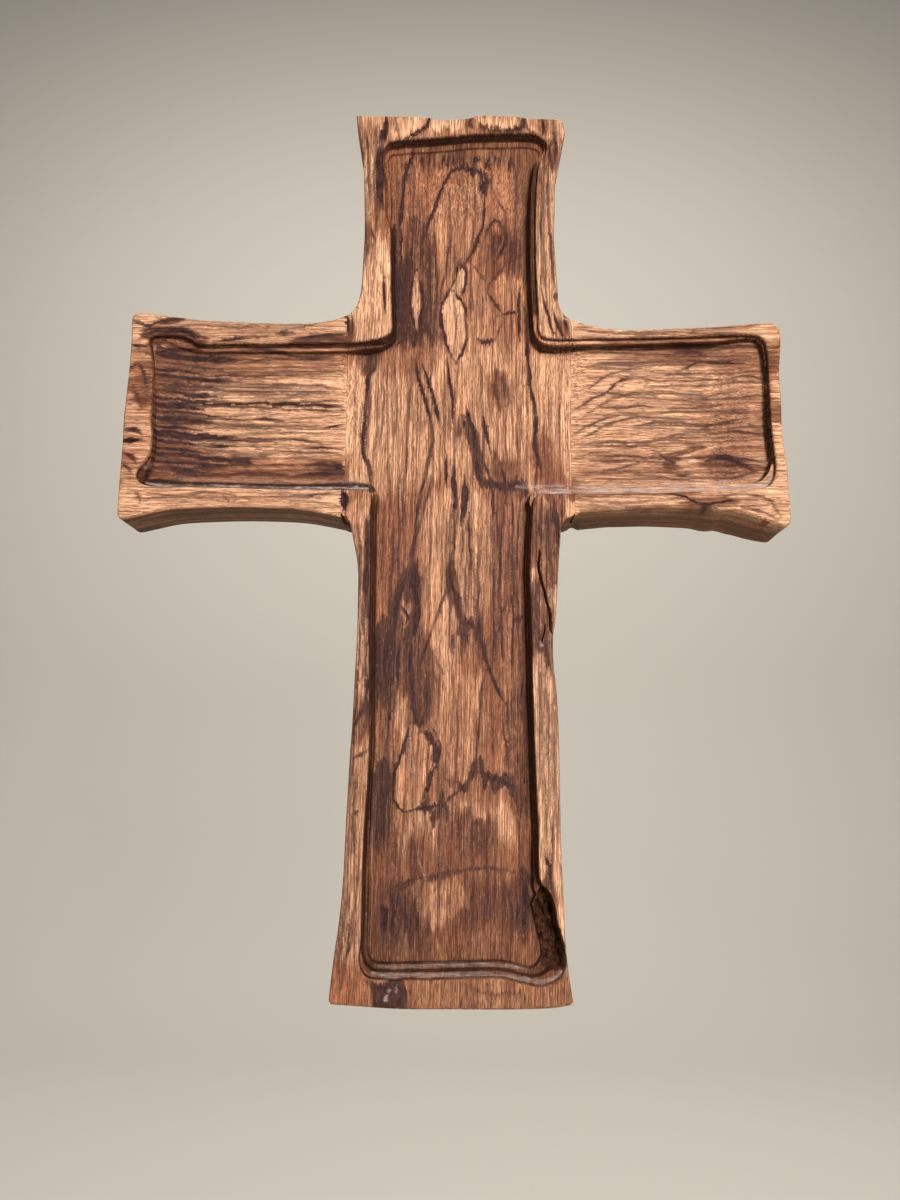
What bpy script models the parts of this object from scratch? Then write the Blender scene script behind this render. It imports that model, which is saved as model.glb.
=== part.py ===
"""Olive wood wall cross.

Two olive boards, an upright and a crossbar, meet in a glued half-lap: the
upright runs through on the front, the crossbar behind it.  Every limb has
bandsawn, gently hollow sides that flare to its end.  A shallow stepped tray
in the shape of the cross is routed into the front, so a rim stands all round
it.  On the back, a sawtooth hanger lies in a pocket near the top, held by two
nails.

Frame: +X to the viewer's right, +Z up, the front faces -Y.  The back face
lies in the plane Y = 0, and the origin is the middle of the crossing on it.
"""
import math

import bmesh
import bpy
from mathutils import Matrix, Vector

MM = 0.001

# ------------------------------------------------------------ boards
THICK = 21.0 * MM            # both boards
FRONT = -THICK               # Y of the rim
TOP = 114.5 * MM             # upper end of the upright
BOTTOM = -189.0 * MM         # lower end of the upright
ARM_END = 113.0 * MM         # half the crossbar's length
EAR = 39.2 * MM              # half-width of the upright where the boards cross
ROOT_HIGH = 36.6 * MM        # edges of the crossbar where the boards cross
ROOT_LOW = -35.4 * MM

# hollow of each side: waist, extra at the end, power of the flare,
# extra at the root and how fast that fades
UPPER_SIDE = (33.5 * MM, 4.4 * MM, 3.4, 4.6 * MM, 4.5 * MM)
LOWER_SIDE = (32.4 * MM, 5.0 * MM, 2.0, 6.1 * MM, 7.3 * MM)
ARM_TOP = (33.9 * MM, 2.9 * MM, 2.5, 2.7 * MM, 6.0 * MM)
ARM_BOTTOM = (32.2 * MM, 5.2 * MM, 2.8, 3.2 * MM, 8.0 * MM)

FRONT_ARRIS = 1.3 * MM       # rounding of the front edges
BACK_ARRIS = 0.4 * MM        # eased back edges
END_CORNER = 1.9 * MM        # rounding of the eight outer corners, seen from the front

# ------------------------------------------------------------ joint
LAP = -THICK / 2             # plane of the half-lap
GAP = 0.3 * MM               # clearance between faces that touch

# ------------------------------------------------------------ tray
LEDGE_DEPTH = 4.0 * MM       # first pass of the router
FLOOR_DEPTH = 8.0 * MM       # second pass, the floor
LEDGE = 1.8 * MM             # width of the step between the two
TRAY_TOP = 107.3 * MM
TRAY_BOTTOM = -181.3 * MM
TRAY_ARM = 107.0 * MM
TRAY_HIGH = 28.6 * MM        # upper edge of the tray in the arms
TRAY_LOW = -25.8 * MM        # lower edge of the tray in the arms
TRAY_HALF_TOP = 27.2 * MM    # half-widths of the upright's tray, from the top down
TRAY_HALF_ROOT_HIGH = 25.8 * MM
TRAY_HALF_ROOT_LOW = 26.4 * MM
TRAY_HALF_BOTTOM = 27.8 * MM
TRAY_CORNER = 4.2 * MM       # radius of the eight outer corners
TRAY_INNER_CORNER = 1.2 * MM # radius of the four corners at the crossing

# ------------------------------------------------------------ flaws of the wood
VOID_AT = (30.3 * MM, -163.0 * MM)          # bark pocket in the lower right rim
VOID_RADII = (3.7 * MM, 6.2 * MM, 9.3 * MM)
VOID_LEAN = 9.0                             # degrees, follows the edge of the board
SPLIT_TOP = -50.0 * MM                      # drying split in the right rim
SPLIT_BOTTOM = -74.0 * MM
SPLIT_X = (28.0 * MM, 31.6 * MM)
SPLIT_WIDTH = 0.9 * MM
SPLIT_DEPTH = 4.5 * MM
NOTCH = (-104.5 * MM, -89.5 * MM, 2.0 * MM) # where the cutter strayed in the left arm

# ------------------------------------------------------------ hanger
HANG_Z = 94.0 * MM           # middle of the pocket's plate
POCKET_HALF = 25.0 * MM
POCKET_TOP = 102.0 * MM
POCKET_BOTTOM = 80.0 * MM
POCKET_DEPTH = 4.0 * MM
POCKET_CORNER = 4.0 * MM
PLATE_HALF = 22.5 * MM
PLATE_TOP = 98.5 * MM
PLATE_THICK = 0.8 * MM
TOOTH_ROOT = 90.5 * MM
TOOTH_TIP = 88.5 * MM
TOOTH_PITCH = 2.4 * MM
TEETH = 10
TAB_FROM = 14.6 * MM         # the tabs lie flat beyond this
RAISE = 1.8 * MM             # how far the toothed middle stands off
NAIL_X = 18.6 * MM
NAIL_Z = 94.4 * MM
NAIL_HEAD = 2.0 * MM
NAIL_HEAD_THICK = 0.8 * MM
NAIL_SHANK = 0.6 * MM
NAIL_REACH = 7.0 * MM        # below the pocket's floor


# ------------------------------------------------------------ helpers
def clear_scene():
    for obj in list(bpy.data.objects):
        bpy.data.objects.remove(obj, do_unlink=True)
    for mesh in list(bpy.data.meshes):
        bpy.data.meshes.remove(mesh)


def material(name, colour, roughness, metallic=0.0):
    mat = bpy.data.materials.new(name)
    mat.use_nodes = True
    bsdf = mat.node_tree.nodes["Principled BSDF"]
    bsdf.inputs["Base Color"].default_value = (*colour, 1.0)
    bsdf.inputs["Roughness"].default_value = roughness
    bsdf.inputs["Metallic"].default_value = metallic
    mat.diffuse_color = (*colour, 1.0)
    return mat


def finish_mesh(name, bm, mat=None, cutter=False):
    bmesh.ops.recalc_face_normals(bm, faces=bm.faces)
    mesh = bpy.data.meshes.new(name)
    bm.to_mesh(mesh)
    bm.free()
    obj = bpy.data.objects.new(name, mesh)
    bpy.context.scene.collection.objects.link(obj)
    if cutter:
        obj.hide_render = True
        obj.display_type = 'WIRE'
    else:
        mesh.materials.append(mat)
        mesh.shade_smooth()
        mesh.set_sharp_from_angle(angle=math.radians(32))
    return obj


def loft(name, rings, mat=None, cutter=False):
    """A closed solid through rings of equal length, capped at both ends."""
    bm = bmesh.new()
    rows = [[bm.verts.new(p) for p in ring] for ring in rings]
    count = len(rows[0])
    for a, b in zip(rows, rows[1:]):
        for i in range(count):
            j = (i + 1) % count
            bm.faces.new((a[i], a[j], b[j], b[i]))
    bm.faces.new(list(reversed(rows[0])))
    bm.faces.new(rows[-1])
    return finish_mesh(name, bm, mat, cutter)


def prism(name, outline, y0, y1, mat=None, cutter=False):
    """An outline of (x, z) points carried from y0 to y1."""
    return loft(name, [[(x, y, z) for x, z in outline] for y in (y0, y1)], mat, cutter)


def cut(obj, cutter):
    mod = obj.modifiers.new(cutter.name, 'BOOLEAN')
    mod.operation = 'DIFFERENCE'
    mod.solver = 'EXACT'
    mod.object = cutter


def fillet(corners, steps=5):
    """A polygon of (x, z, radius) corners with each corner rounded."""
    out = []
    n = len(corners)
    for i, (x, z, r) in enumerate(corners):
        p = Vector((x, z))
        a = Vector(corners[i - 1][:2]) - p
        b = Vector(corners[(i + 1) % n][:2]) - p
        if r <= 0:
            out.append((x, z))
            continue
        a.normalize()
        b.normalize()
        half = a.angle(b) / 2
        centre = p + (a + b).normalized() * (r / math.sin(half))
        start = p + a * (r / math.tan(half)) - centre
        end = p + b * (r / math.tan(half)) - centre
        turn = math.atan2(start.x * end.y - start.y * end.x, start.dot(end))
        for k in range(steps + 1):
            t = turn * k / steps
            q = centre + Vector((start.x * math.cos(t) - start.y * math.sin(t),
                                 start.x * math.sin(t) + start.y * math.cos(t)))
            out.append((q.x, q.y))
    return out


def inset(outline, amounts):
    """The outline moved inward, point by point; it runs anticlockwise."""
    out = []
    n = len(outline)
    for i in range(n):
        p = Vector(outline[i])
        u = (p - Vector(outline[i - 1])).normalized()
        v = (Vector(outline[(i + 1) % n]) - p).normalized()
        normal = Vector((-(u + v).y, (u + v).x)).normalized()
        spread = max(0.5, normal.dot(Vector((-u.y, u.x))))
        q = p + normal * (amounts[i] / spread)
        out.append((q.x, q.y))
    return out


def half_width(d, length, side):
    """Half-width of a limb at the distance d from the crossing."""
    waist, flare, power, root, reach = side
    return waist + flare * (d / length) ** power + root * math.exp(-d / reach)


def stations(length, count):
    """Distances from the crossing, closer together near it."""
    return [length * (k / count) ** 1.7 for k in range(count + 1)]


def board(name, outline, amounts, mat):
    """A board of this outline, with its front edges rounded and its back edges eased."""
    rings = [[(x, 0.0, z) for x, z in inset(outline, [BACK_ARRIS] * len(outline))],
             [(x, -BACK_ARRIS, z) for x, z in outline]]
    for k in range(5):
        t = math.radians(90 * k / 4)
        ring = inset(outline, [a * (1 - math.cos(t)) for a in amounts])
        rings.append([(x, FRONT + a * (1 - math.sin(t)), z)
                      for (x, z), a in zip(ring, amounts)])
    return loft(name, rings, mat)


# ------------------------------------------------------------ outlines
def upright_outline():
    """The upright seen from the front, anticlockwise from its lower right corner."""
    low, high = ROOT_LOW - BOTTOM, TOP - ROOT_HIGH
    right = []
    for d in reversed(stations(low, 22)):
        right.append((half_width(d, low, LOWER_SIDE), ROOT_LOW - d))
    ear_from = len(right)
    right += [(EAR, ROOT_LOW + 0.4 * MM), (EAR, ROOT_HIGH - 0.4 * MM)]
    ear_to = len(right)
    for d in stations(high, 16):
        right.append((half_width(d, high, UPPER_SIDE), ROOT_HIGH + d))
    amounts = [FRONT_ARRIS] * len(right)
    for i in range(ear_from - 1, ear_to + 1):
        amounts[i] = 0.05 * MM                 # flush with the arms
    left = [(-x, z) for x, z in reversed(right)]
    return round_ends(right, left, amounts)


def round_ends(right, left, amounts):
    """Joins two sides and rounds the four outer corners."""
    ring = [(x, z, 0.0) for x, z in right + left]
    amounts = amounts + list(reversed(amounts))
    corners = (0, len(right) - 1, len(right), len(ring) - 1)
    ring = [(x, z, END_CORNER if i in corners else 0.0) for i, (x, z, _) in enumerate(ring)]
    spread = []
    for i, a in enumerate(amounts):
        spread += [a] * (6 if i in corners else 1)
    return fillet(ring), spread


def crossbar_outline():
    """The crossbar seen from the front, anticlockwise from its upper right corner."""
    length = ARM_END - (EAR + GAP)
    steps = stations(length, 18)
    top = [(EAR + GAP + d, half_width(d, length, ARM_TOP)) for d in reversed(steps)]
    top += [(-x, z) for x, z in reversed(top)]
    bottom = [(EAR + GAP + d, -half_width(d, length, ARM_BOTTOM)) for d in reversed(steps)]
    bottom += [(-x, z) for x, z in reversed(bottom)]
    bottom.reverse()
    return round_ends(top, bottom, [FRONT_ARRIS] * len(top))


def tray_outline(step):
    """The routed tray, moved inward by step."""
    outer = TRAY_CORNER - step * 0.8
    inner = TRAY_INNER_CORNER + step
    wb, wl = TRAY_HALF_BOTTOM - step, TRAY_HALF_ROOT_LOW - step
    wh, wt = TRAY_HALF_ROOT_HIGH - step, TRAY_HALF_TOP - step
    zb, zl = TRAY_BOTTOM + step, TRAY_LOW + step
    zh, zt = TRAY_HIGH - step, TRAY_TOP - step
    xa = TRAY_ARM - step
    right = [(wb, zb, outer), (wl, zl, inner), (xa, zl, outer),
             (xa, zh, outer), (wh, zh, inner), (wt, zt, outer)]
    return fillet(right + [(-x, z, r) for x, z, r in reversed(right)])


def rounded_box(x0, x1, z0, z1, radius):
    return fillet([(x1, z0, radius), (x1, z1, radius), (x0, z1, radius), (x0, z0, radius)])


def box(x0, x1, z0, z1):
    return [(x1, z0), (x1, z1), (x0, z1), (x0, z0)]


# ------------------------------------------------------------ flaws
def bark_void():
    """An uneven hollow where a pocket of bark fell out of the rim."""
    bm = bmesh.new()
    bmesh.ops.create_icosphere(bm, subdivisions=3, radius=1.0)
    lean = Matrix.Rotation(math.radians(-VOID_LEAN), 4, 'Y')
    for v in bm.verts:
        p = v.co.copy()
        lump = 1 + 0.07 * math.sin(5 * p.x + 3 * p.z) + 0.06 * math.sin(7 * p.z - 4 * p.y)
        p = Vector(p[k] * VOID_RADII[k] * lump for k in range(3))
        v.co = lean @ p + Vector((VOID_AT[0], FRONT, VOID_AT[1]))
    return finish_mesh("bark_void", bm, cutter=True)


def drying_split():
    """A thin crack that wanders down the rim and closes at both ends."""
    count = 9
    left, right = [], []
    for k in range(count + 1):
        t = k / count
        z = SPLIT_TOP + (SPLIT_BOTTOM - SPLIT_TOP) * t
        x = SPLIT_X[0] + (SPLIT_X[1] - SPLIT_X[0]) * t + 0.5 * MM * math.sin(9 * t + 1)
        half = SPLIT_WIDTH / 2 * (0.12 + 0.88 * math.sin(math.pi * (0.08 + 0.84 * t)))
        left.append((x - half, z))
        right.append((x + half, z))
    return prism("drying_split", list(reversed(right)) + left,
                 FRONT - 1 * MM, FRONT + SPLIT_DEPTH, cutter=True)


def stray_notch():
    """The place in the left arm where the cutter ran outside its line."""
    x0, x1, rise = NOTCH
    z = TRAY_HIGH
    low = z - 3 * MM
    arc = [(x0 + (x1 - x0) * k / 10, z + rise * math.sin(math.pi * k / 10) ** 0.7)
           for k in range(11)]
    return prism("stray_notch", [(x0, low), (x1, low)] + list(reversed(arc)),
                 FRONT - 1 * MM, FRONT + 5 * MM, cutter=True)


# ------------------------------------------------------------ hanger
def turned(name, profile, segments, mat=None, cutter=False):
    """Turns (radius, y) pairs about the Y axis; the first and last radius is 0."""
    bm = bmesh.new()
    rows = []
    for r, y in profile:
        if r <= 0:
            rows.append([bm.verts.new((0, y, 0))])
        else:
            rows.append([bm.verts.new((r * math.cos(2 * math.pi * k / segments), y,
                                       r * math.sin(2 * math.pi * k / segments)))
                         for k in range(segments)])
    for a, b in zip(rows, rows[1:]):
        for k in range(segments):
            j = (k + 1) % segments
            quad = (a[k % len(a)], a[j % len(a)], b[j % len(b)], b[k % len(b)])
            bm.faces.new([v for i, v in enumerate(quad) if v not in quad[:i]])
    return finish_mesh(name, bm, mat, cutter)


def hanger_plate(mat):
    """A strip with a toothed, raised middle and a flat tab at each end."""
    inner = -POCKET_DEPTH + GAP
    reach = TOOTH_PITCH / 2 * TEETH
    xs = [-PLATE_HALF, -TAB_FROM]
    xs += [-reach + TOOTH_PITCH / 2 * k for k in range(2 * TEETH + 1)]
    xs += [TAB_FROM, PLATE_HALF]
    rings = []
    for i, x in enumerate(xs):
        toothed = 2 <= i < len(xs) - 2
        tip = toothed and i % 2 == 1
        raised = RAISE if toothed else 0.0
        low = TOOTH_TIP if tip else TOOTH_ROOT
        rings.append([(x, inner + raised, low), (x, inner + raised + PLATE_THICK, low),
                      (x, inner + raised + PLATE_THICK, PLATE_TOP), (x, inner + raised, PLATE_TOP)])
    return loft("sawtooth_hanger", rings, mat)


def nail(name, x, mat):
    """A domed head over the tab and a pointed shank into the upright."""
    under = -POCKET_DEPTH + GAP + PLATE_THICK + GAP
    tip = -POCKET_DEPTH - NAIL_REACH
    profile = [(0, tip), (NAIL_SHANK, tip + 1.5 * MM), (NAIL_SHANK, under), (NAIL_HEAD, under),
               (NAIL_HEAD, under + 0.3 * NAIL_HEAD_THICK),
               (NAIL_HEAD * 0.72, under + 0.8 * NAIL_HEAD_THICK), (0, under + NAIL_HEAD_THICK)]
    obj = turned(name, profile, 18, mat)
    obj.location = (x, 0, NAIL_Z)
    return obj


def nail_hole(name, x, far):
    """A round hole from outside the back down to the given Y."""
    r = NAIL_SHANK + GAP
    obj = turned(name, [(0, far), (r, far + 0.6 * MM), (r, 2 * MM), (0, 2 * MM)], 18, cutter=True)
    obj.location = (x, 0, NAIL_Z)
    return obj


# ------------------------------------------------------------ assembly
def main():
    clear_scene()
    wood_upright = material("olive_upright", (0.42, 0.20, 0.085), 0.5)
    wood_arms = material("olive_crossbar", (0.50, 0.26, 0.12), 0.5)
    plated = material("plated_steel", (0.72, 0.66, 0.5), 0.35, 1.0)
    steel = material("nail_steel", (0.62, 0.62, 0.6), 0.4, 1.0)

    tray_ledge = prism("tray_ledge", tray_outline(0.0),
                       FRONT - 1 * MM, FRONT + LEDGE_DEPTH, cutter=True)
    tray_floor = prism("tray_floor", tray_outline(LEDGE),
                       FRONT - 2 * MM, FRONT + FLOOR_DEPTH, cutter=True)

    upright = board("upright", *upright_outline(), wood_upright)
    lap_behind = prism("lap_behind", box(-60 * MM, 60 * MM, ROOT_LOW - GAP, ROOT_HIGH + GAP),
                       LAP - GAP / 2, 5 * MM, cutter=True)
    pocket = prism("hanger_pocket",
                   rounded_box(-POCKET_HALF, POCKET_HALF, POCKET_BOTTOM, POCKET_TOP, POCKET_CORNER),
                   -POCKET_DEPTH, 5 * MM, cutter=True)
    for cutter in (tray_ledge, tray_floor, lap_behind, bark_void(), drying_split(), pocket):
        cut(upright, cutter)

    crossbar = board("crossbar", *crossbar_outline(), wood_arms)
    lap_front = prism("lap_front", box(-(EAR + GAP), EAR + GAP, -60 * MM, 60 * MM),
                      FRONT - 5 * MM, LAP + GAP / 2, cutter=True)
    for cutter in (lap_front, tray_ledge, tray_floor, stray_notch()):
        cut(crossbar, cutter)

    hanger = hanger_plate(plated)
    for side, x in (("left", -NAIL_X), ("right", NAIL_X)):
        nail("hanger_nail_" + side, x, steel)
        cut(upright, nail_hole("pilot_hole_" + side, x,
                               -POCKET_DEPTH - NAIL_REACH - GAP))
        cut(hanger, nail_hole("plate_hole_" + side, x, -POCKET_DEPTH - 1 * MM))


main()
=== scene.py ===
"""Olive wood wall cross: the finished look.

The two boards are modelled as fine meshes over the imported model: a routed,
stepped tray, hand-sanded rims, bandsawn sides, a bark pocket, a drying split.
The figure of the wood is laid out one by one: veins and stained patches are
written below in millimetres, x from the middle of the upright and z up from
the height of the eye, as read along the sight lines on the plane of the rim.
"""

import math

import bpy
import numpy as np
from mathutils import Matrix, Vector, geometry


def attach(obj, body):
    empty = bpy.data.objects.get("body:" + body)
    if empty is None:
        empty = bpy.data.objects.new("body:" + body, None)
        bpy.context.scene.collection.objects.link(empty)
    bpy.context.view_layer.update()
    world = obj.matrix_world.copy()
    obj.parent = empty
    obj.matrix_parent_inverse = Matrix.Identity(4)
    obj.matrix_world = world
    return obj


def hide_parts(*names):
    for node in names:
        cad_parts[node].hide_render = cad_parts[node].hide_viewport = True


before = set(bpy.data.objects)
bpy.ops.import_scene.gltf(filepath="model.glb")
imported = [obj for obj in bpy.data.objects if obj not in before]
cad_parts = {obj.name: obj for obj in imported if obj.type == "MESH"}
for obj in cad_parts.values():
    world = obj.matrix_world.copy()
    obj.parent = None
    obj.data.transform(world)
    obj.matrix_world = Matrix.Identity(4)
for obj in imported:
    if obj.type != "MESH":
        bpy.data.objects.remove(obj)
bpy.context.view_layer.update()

MM = 0.001
EYE_X, EYE_D, EYE_Z = -1.6, 293.3, -112.0   # the eye: x, distance from the rim's plane, height
FRONT = -21.0
SEAM_L, SEAM_R = -38.45, 39.75              # glue lines between upright and crossbar
SEAM_GAP = 0.07
LAP_HIGH, LAP_LOW = 148.6, 76.6             # the half-lap, as heights above the eye
LAP_Y = -10.5
D1, D2, D3 = 2.0, 5.3, 7.8                  # depths of the router's three passes
FLOOR = 7.8
POCKET_DEPTH = 4.0


# ================================================================ noise
def hash2(ix, iy, seed):
    h = (ix.astype(np.int64) * 374761393 + iy.astype(np.int64) * 668265263 + seed * 974634777) & 0xFFFFFFFF
    h = ((h ^ (h >> 13)) * 1274126177) & 0xFFFFFFFF
    h = ((h ^ (h >> 15)) * 2246822519) & 0xFFFFFFFF
    return ((h ^ (h >> 16)) & 0xFFFF) / 65535.0


def noise2(x, y, seed=0):
    """Smooth value noise from -1 to 1."""
    x, y = np.asarray(x, float), np.asarray(y, float)
    ix, iy = np.floor(x), np.floor(y)
    u, v = x - ix, y - iy
    u, v = u * u * (3 - 2 * u), v * v * (3 - 2 * v)
    a = hash2(ix, iy, seed) * (1 - u) + hash2(ix + 1, iy, seed) * u
    b = hash2(ix, iy + 1, seed) * (1 - u) + hash2(ix + 1, iy + 1, seed) * u
    return (a * (1 - v) + b * v) * 2 - 1


def fbm(x, y, octaves=3, seed=0):
    out, amp = 0.0, 0.5
    for k in range(octaves):
        out = out + amp * noise2(x * 2 ** k + 17.3 * k, y * 2 ** k - 9.1 * k, seed + k)
        amp *= 0.5
    return out


def step01(a, b, x):
    t = np.clip((np.asarray(x, float) - a) / (b - a), 0, 1)
    return t * t * (3 - 2 * t)


# ================================================================ lines
def resample(p, step, closed):
    p = np.asarray(p, float)
    q = np.vstack([p, p[:1]]) if closed else p
    d = np.r_[0, np.cumsum(np.hypot(*(q[1:] - q[:-1]).T))]
    n = max(2, int(round(d[-1] / step)))
    s = np.linspace(0, d[-1], n + 1)
    if closed:
        s = s[:-1]
    return np.stack([np.interp(s, d, q[:, 0]), np.interp(s, d, q[:, 1])], 1)


def spline(points, step=0.5, closed=False):
    """An even polyline on a smooth curve through the points."""
    p = np.asarray(points, float)
    n = len(p)
    if n == 2:
        return resample(p, step, False)
    idx = range(n if closed else n - 1)
    out = []
    for i in idx:
        p1, p2 = p[i], p[(i + 1) % n]
        p0 = p[i - 1] if (closed or i > 0) else 2 * p1 - p2
        p3 = p[(i + 2) % n] if (closed or i + 2 < n) else 2 * p2 - p1
        t0 = 0.0
        t1 = t0 + max(1e-4, np.hypot(*(p1 - p0))) ** 0.5
        t2 = t1 + max(1e-4, np.hypot(*(p2 - p1))) ** 0.5
        t3 = t2 + max(1e-4, np.hypot(*(p3 - p2))) ** 0.5
        m = max(2, int(np.hypot(*(p2 - p1)) / 0.15))
        t = np.linspace(t1, t2, m, endpoint=False)[:, None]
        a1 = (t1 - t) / (t1 - t0) * p0 + (t - t0) / (t1 - t0) * p1
        a2 = (t2 - t) / (t2 - t1) * p1 + (t - t1) / (t2 - t1) * p2
        a3 = (t3 - t) / (t3 - t2) * p2 + (t - t2) / (t3 - t2) * p3
        b1 = (t2 - t) / (t2 - t0) * a1 + (t - t0) / (t2 - t0) * a2
        b2 = (t3 - t) / (t3 - t1) * a2 + (t - t1) / (t3 - t1) * a3
        out.append((t2 - t) / (t2 - t1) * b1 + (t - t1) / (t2 - t1) * b2)
    if not closed:
        out.append(p[-1:])
    return resample(np.vstack(out), step, closed)


def area(p):
    q = np.roll(p, -1, 0)
    return 0.5 * float((p[:, 0] * q[:, 1] - q[:, 0] * p[:, 1]).sum())


def near(P, line, limit, closed=False, away=None):
    """Distance to a polyline up to limit, the side (+1 right of travel), and the share of its length.

    The array away, if given, receives the unit vectors that point from the line to each point.
    """
    L = np.vstack([line, line[:1]]) if closed else np.asarray(line, float)
    seg = L[1:] - L[:-1]
    length = np.maximum(1e-9, np.hypot(*seg.T))
    cum = np.r_[0, np.cumsum(length)]
    dist = np.full(len(P), float(limit))
    side, along = np.zeros(len(P)), np.zeros(len(P))
    for s in range(0, len(seg), 40):
        a, d, ln = L[s:s + 40][:len(seg) - s], seg[s:s + 40], length[s:s + 40]
        a = a[:len(d)]
        lo, hi = np.minimum(a, a + d).min(0) - limit, np.maximum(a, a + d).max(0) + limit
        idx = np.nonzero((P[:, 0] > lo[0]) & (P[:, 0] < hi[0]) & (P[:, 1] > lo[1]) & (P[:, 1] < hi[1]))[0]
        for c in range(0, len(idx), 8000):
            ii = idx[c:c + 8000]
            q = P[ii][:, None, :] - a[None]
            t = np.clip((q * d).sum(-1) / (ln * ln), 0, 1)
            r = q - t[..., None] * d
            dd = np.hypot(r[..., 0], r[..., 1])
            k = dd.argmin(1)
            m = np.arange(len(ii))
            best = dd[m, k]
            up = best < dist[ii]
            j, k, m = ii[up], k[up], m[up]
            dist[j] = best[up]
            along[j] = (cum[s + k] + t[m, k] * ln[k]) / cum[-1]
            if away is not None:
                away[j] = r[m, k] / np.maximum(1e-6, dd[m, k])[:, None]
            cr = d[k, 0] * q[m, k, 1] - d[k, 1] * q[m, k, 0]
            side[j] = np.where(cr > 0, -1.0, 1.0)
    return dist, side, along


def inside(P, poly):
    res = np.zeros(len(P), bool)
    q = np.roll(poly, -1, 0)
    x, y = P[:, 0], P[:, 1]
    for (ax, ay), (bx, by) in zip(poly, q):
        if ay == by:
            continue
        hit = (ay > y) != (by > y)
        res ^= hit & (x < (bx - ax) * (y - ay) / (by - ay) + ax)
    return res


def signed(P, poly, limit=8.0, inner=None):
    """Distance inward from a closed anticlockwise polygon, negative outside it.

    The array inner, if given, receives the unit vectors that point inward.
    """
    d, side, _ = near(P, poly, limit, True, inner)
    sign = np.where(inside(P, poly[::4]), 1.0, -1.0)
    close = d < 1.2
    sign[close] = -side[close]
    if inner is not None:
        inner *= sign[:, None]
    return d * sign


def inward(poly, amount, filt=True):
    """The polygon moved inward by amount, a number or one per point, with its loops taken out."""
    t = np.roll(poly, -1, 0) - np.roll(poly, 1, 0)
    t /= np.maximum(1e-9, np.hypot(*t.T))[:, None]
    n = np.stack([-t[:, 1], t[:, 0]], 1)
    amount = np.broadcast_to(np.asarray(amount, float), (len(poly),))
    q = poly + n * amount[:, None]
    if filt:
        d, _, _ = near(q, poly, float(np.abs(amount).max()) + 1, True)
        q = q[d > np.abs(amount) * 0.97 - 0.015]
    return q


def even(values, count):
    """A running mean round a closed line."""
    k = np.ones(2 * count + 1) / (2 * count + 1)
    return np.convolve(np.r_[values[-count:], values, values[:count]], k, "valid")


# ================================================================ outlines (x, height above the eye)
UP_LEFT = [(-37.7, 226.3), (-37, 220), (-35.9, 215), (-35, 210), (-34.2, 200), (-33.8, 190), (-33.5, 180),
           (-33.7, 170), (-34, 160), (-34.8, 155), (-36.1, 151.2), (-37.6, 149.3)]
LOW_LEFT = [(-37.8, 77.4), (-36.4, 76.6), (-34.9, 72.5), (-33.6, 67), (-32.6, 62), (-32.1, 57), (-32, 50),
            (-31.9, 40), (-32, 32), (-32.3, 22), (-32.6, 8), (-33, 0), (-33.4, -14), (-33.7, -26), (-34, -40),
            (-35, -54), (-36, -62), (-36.8, -70), (-37.3, -76)]
FOOT = [(-36.6, -77), (-28, -77.5), (-15, -78.1), (0, -78), (20, -77.8), (32, -77.2), (37.2, -76.3)]
LOW_RIGHT = [(37.9, -75.4), (37, -70), (35.8, -60), (35.3, -50), (35, -40), (34.5, -30), (34.3, -15),
             (34.1, 0), (33.8, 12), (33.2, 22), (32.5, 28), (32.3, 34), (32.4, 38), (33, 42), (33.8, 52),
             (34.2, 60), (34.8, 68), (35.6, 75), (37.4, 77.6), (39.0, 78.2)]
UP_RIGHT = [(38.6, 148.4), (36.2, 150.8), (35.1, 154), (34.7, 160), (34, 170), (33.5, 180), (33.8, 190),
            (34, 200), (35, 205), (35.7, 210), (36.5, 215), (37.6, 220), (37.0, 225)]
HEAD = [(36.3, 225.9), (28, 226.1), (23.5, 226.3), (20, 226.9), (14, 227.1), (6, 227), (3, 226), (-3, 225.3),
        (-9, 225.3), (-12, 226.1), (-25, 226.3), (-36.6, 226.4)]

ARM_L = [(-37, 149), (-44, 147.3), (-50, 146.2), (-60, 145.8), (-80, 146.3), (-90, 146.8), (-96, 147.5),
         (-104, 148.4), (-110, 149.1), (-112.4, 148.6), (-113.2, 147.2), (-113, 138), (-113, 130), (-113.3, 120),
         (-113.6, 112), (-113.4, 100), (-113.5, 90), (-113.5, 82), (-113.2, 76.6), (-112.2, 75.3), (-107, 76.2),
         (-98, 78.3), (-86, 79.3), (-70, 79.8), (-53, 79.3), (-45, 78.1), (-37, 76.5)]
ARM_R = [(38, 77.4), (39.9, 78.3), (41.5, 79.5), (43, 80), (50, 80.6), (58, 81.1), (66, 81.7), (75, 81.9), (84, 81.7), (88, 81), (92, 81.3),
         (98, 79.8), (103, 77.9), (108, 76.2), (110.4, 75.7), (111.7, 76.4), (112.2, 80), (112, 88), (111.8, 98), (111, 105), (110.8, 112),
         (111, 120), (110.8, 130), (111.3, 136), (111.8, 142), (111.6, 146.4), (110.2, 147.9), (106, 148.3),
         (98, 147.7), (88, 146.6), (76, 145.9), (66, 145.4), (58, 145.1), (48, 146.1), (38, 148.6)]

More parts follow.
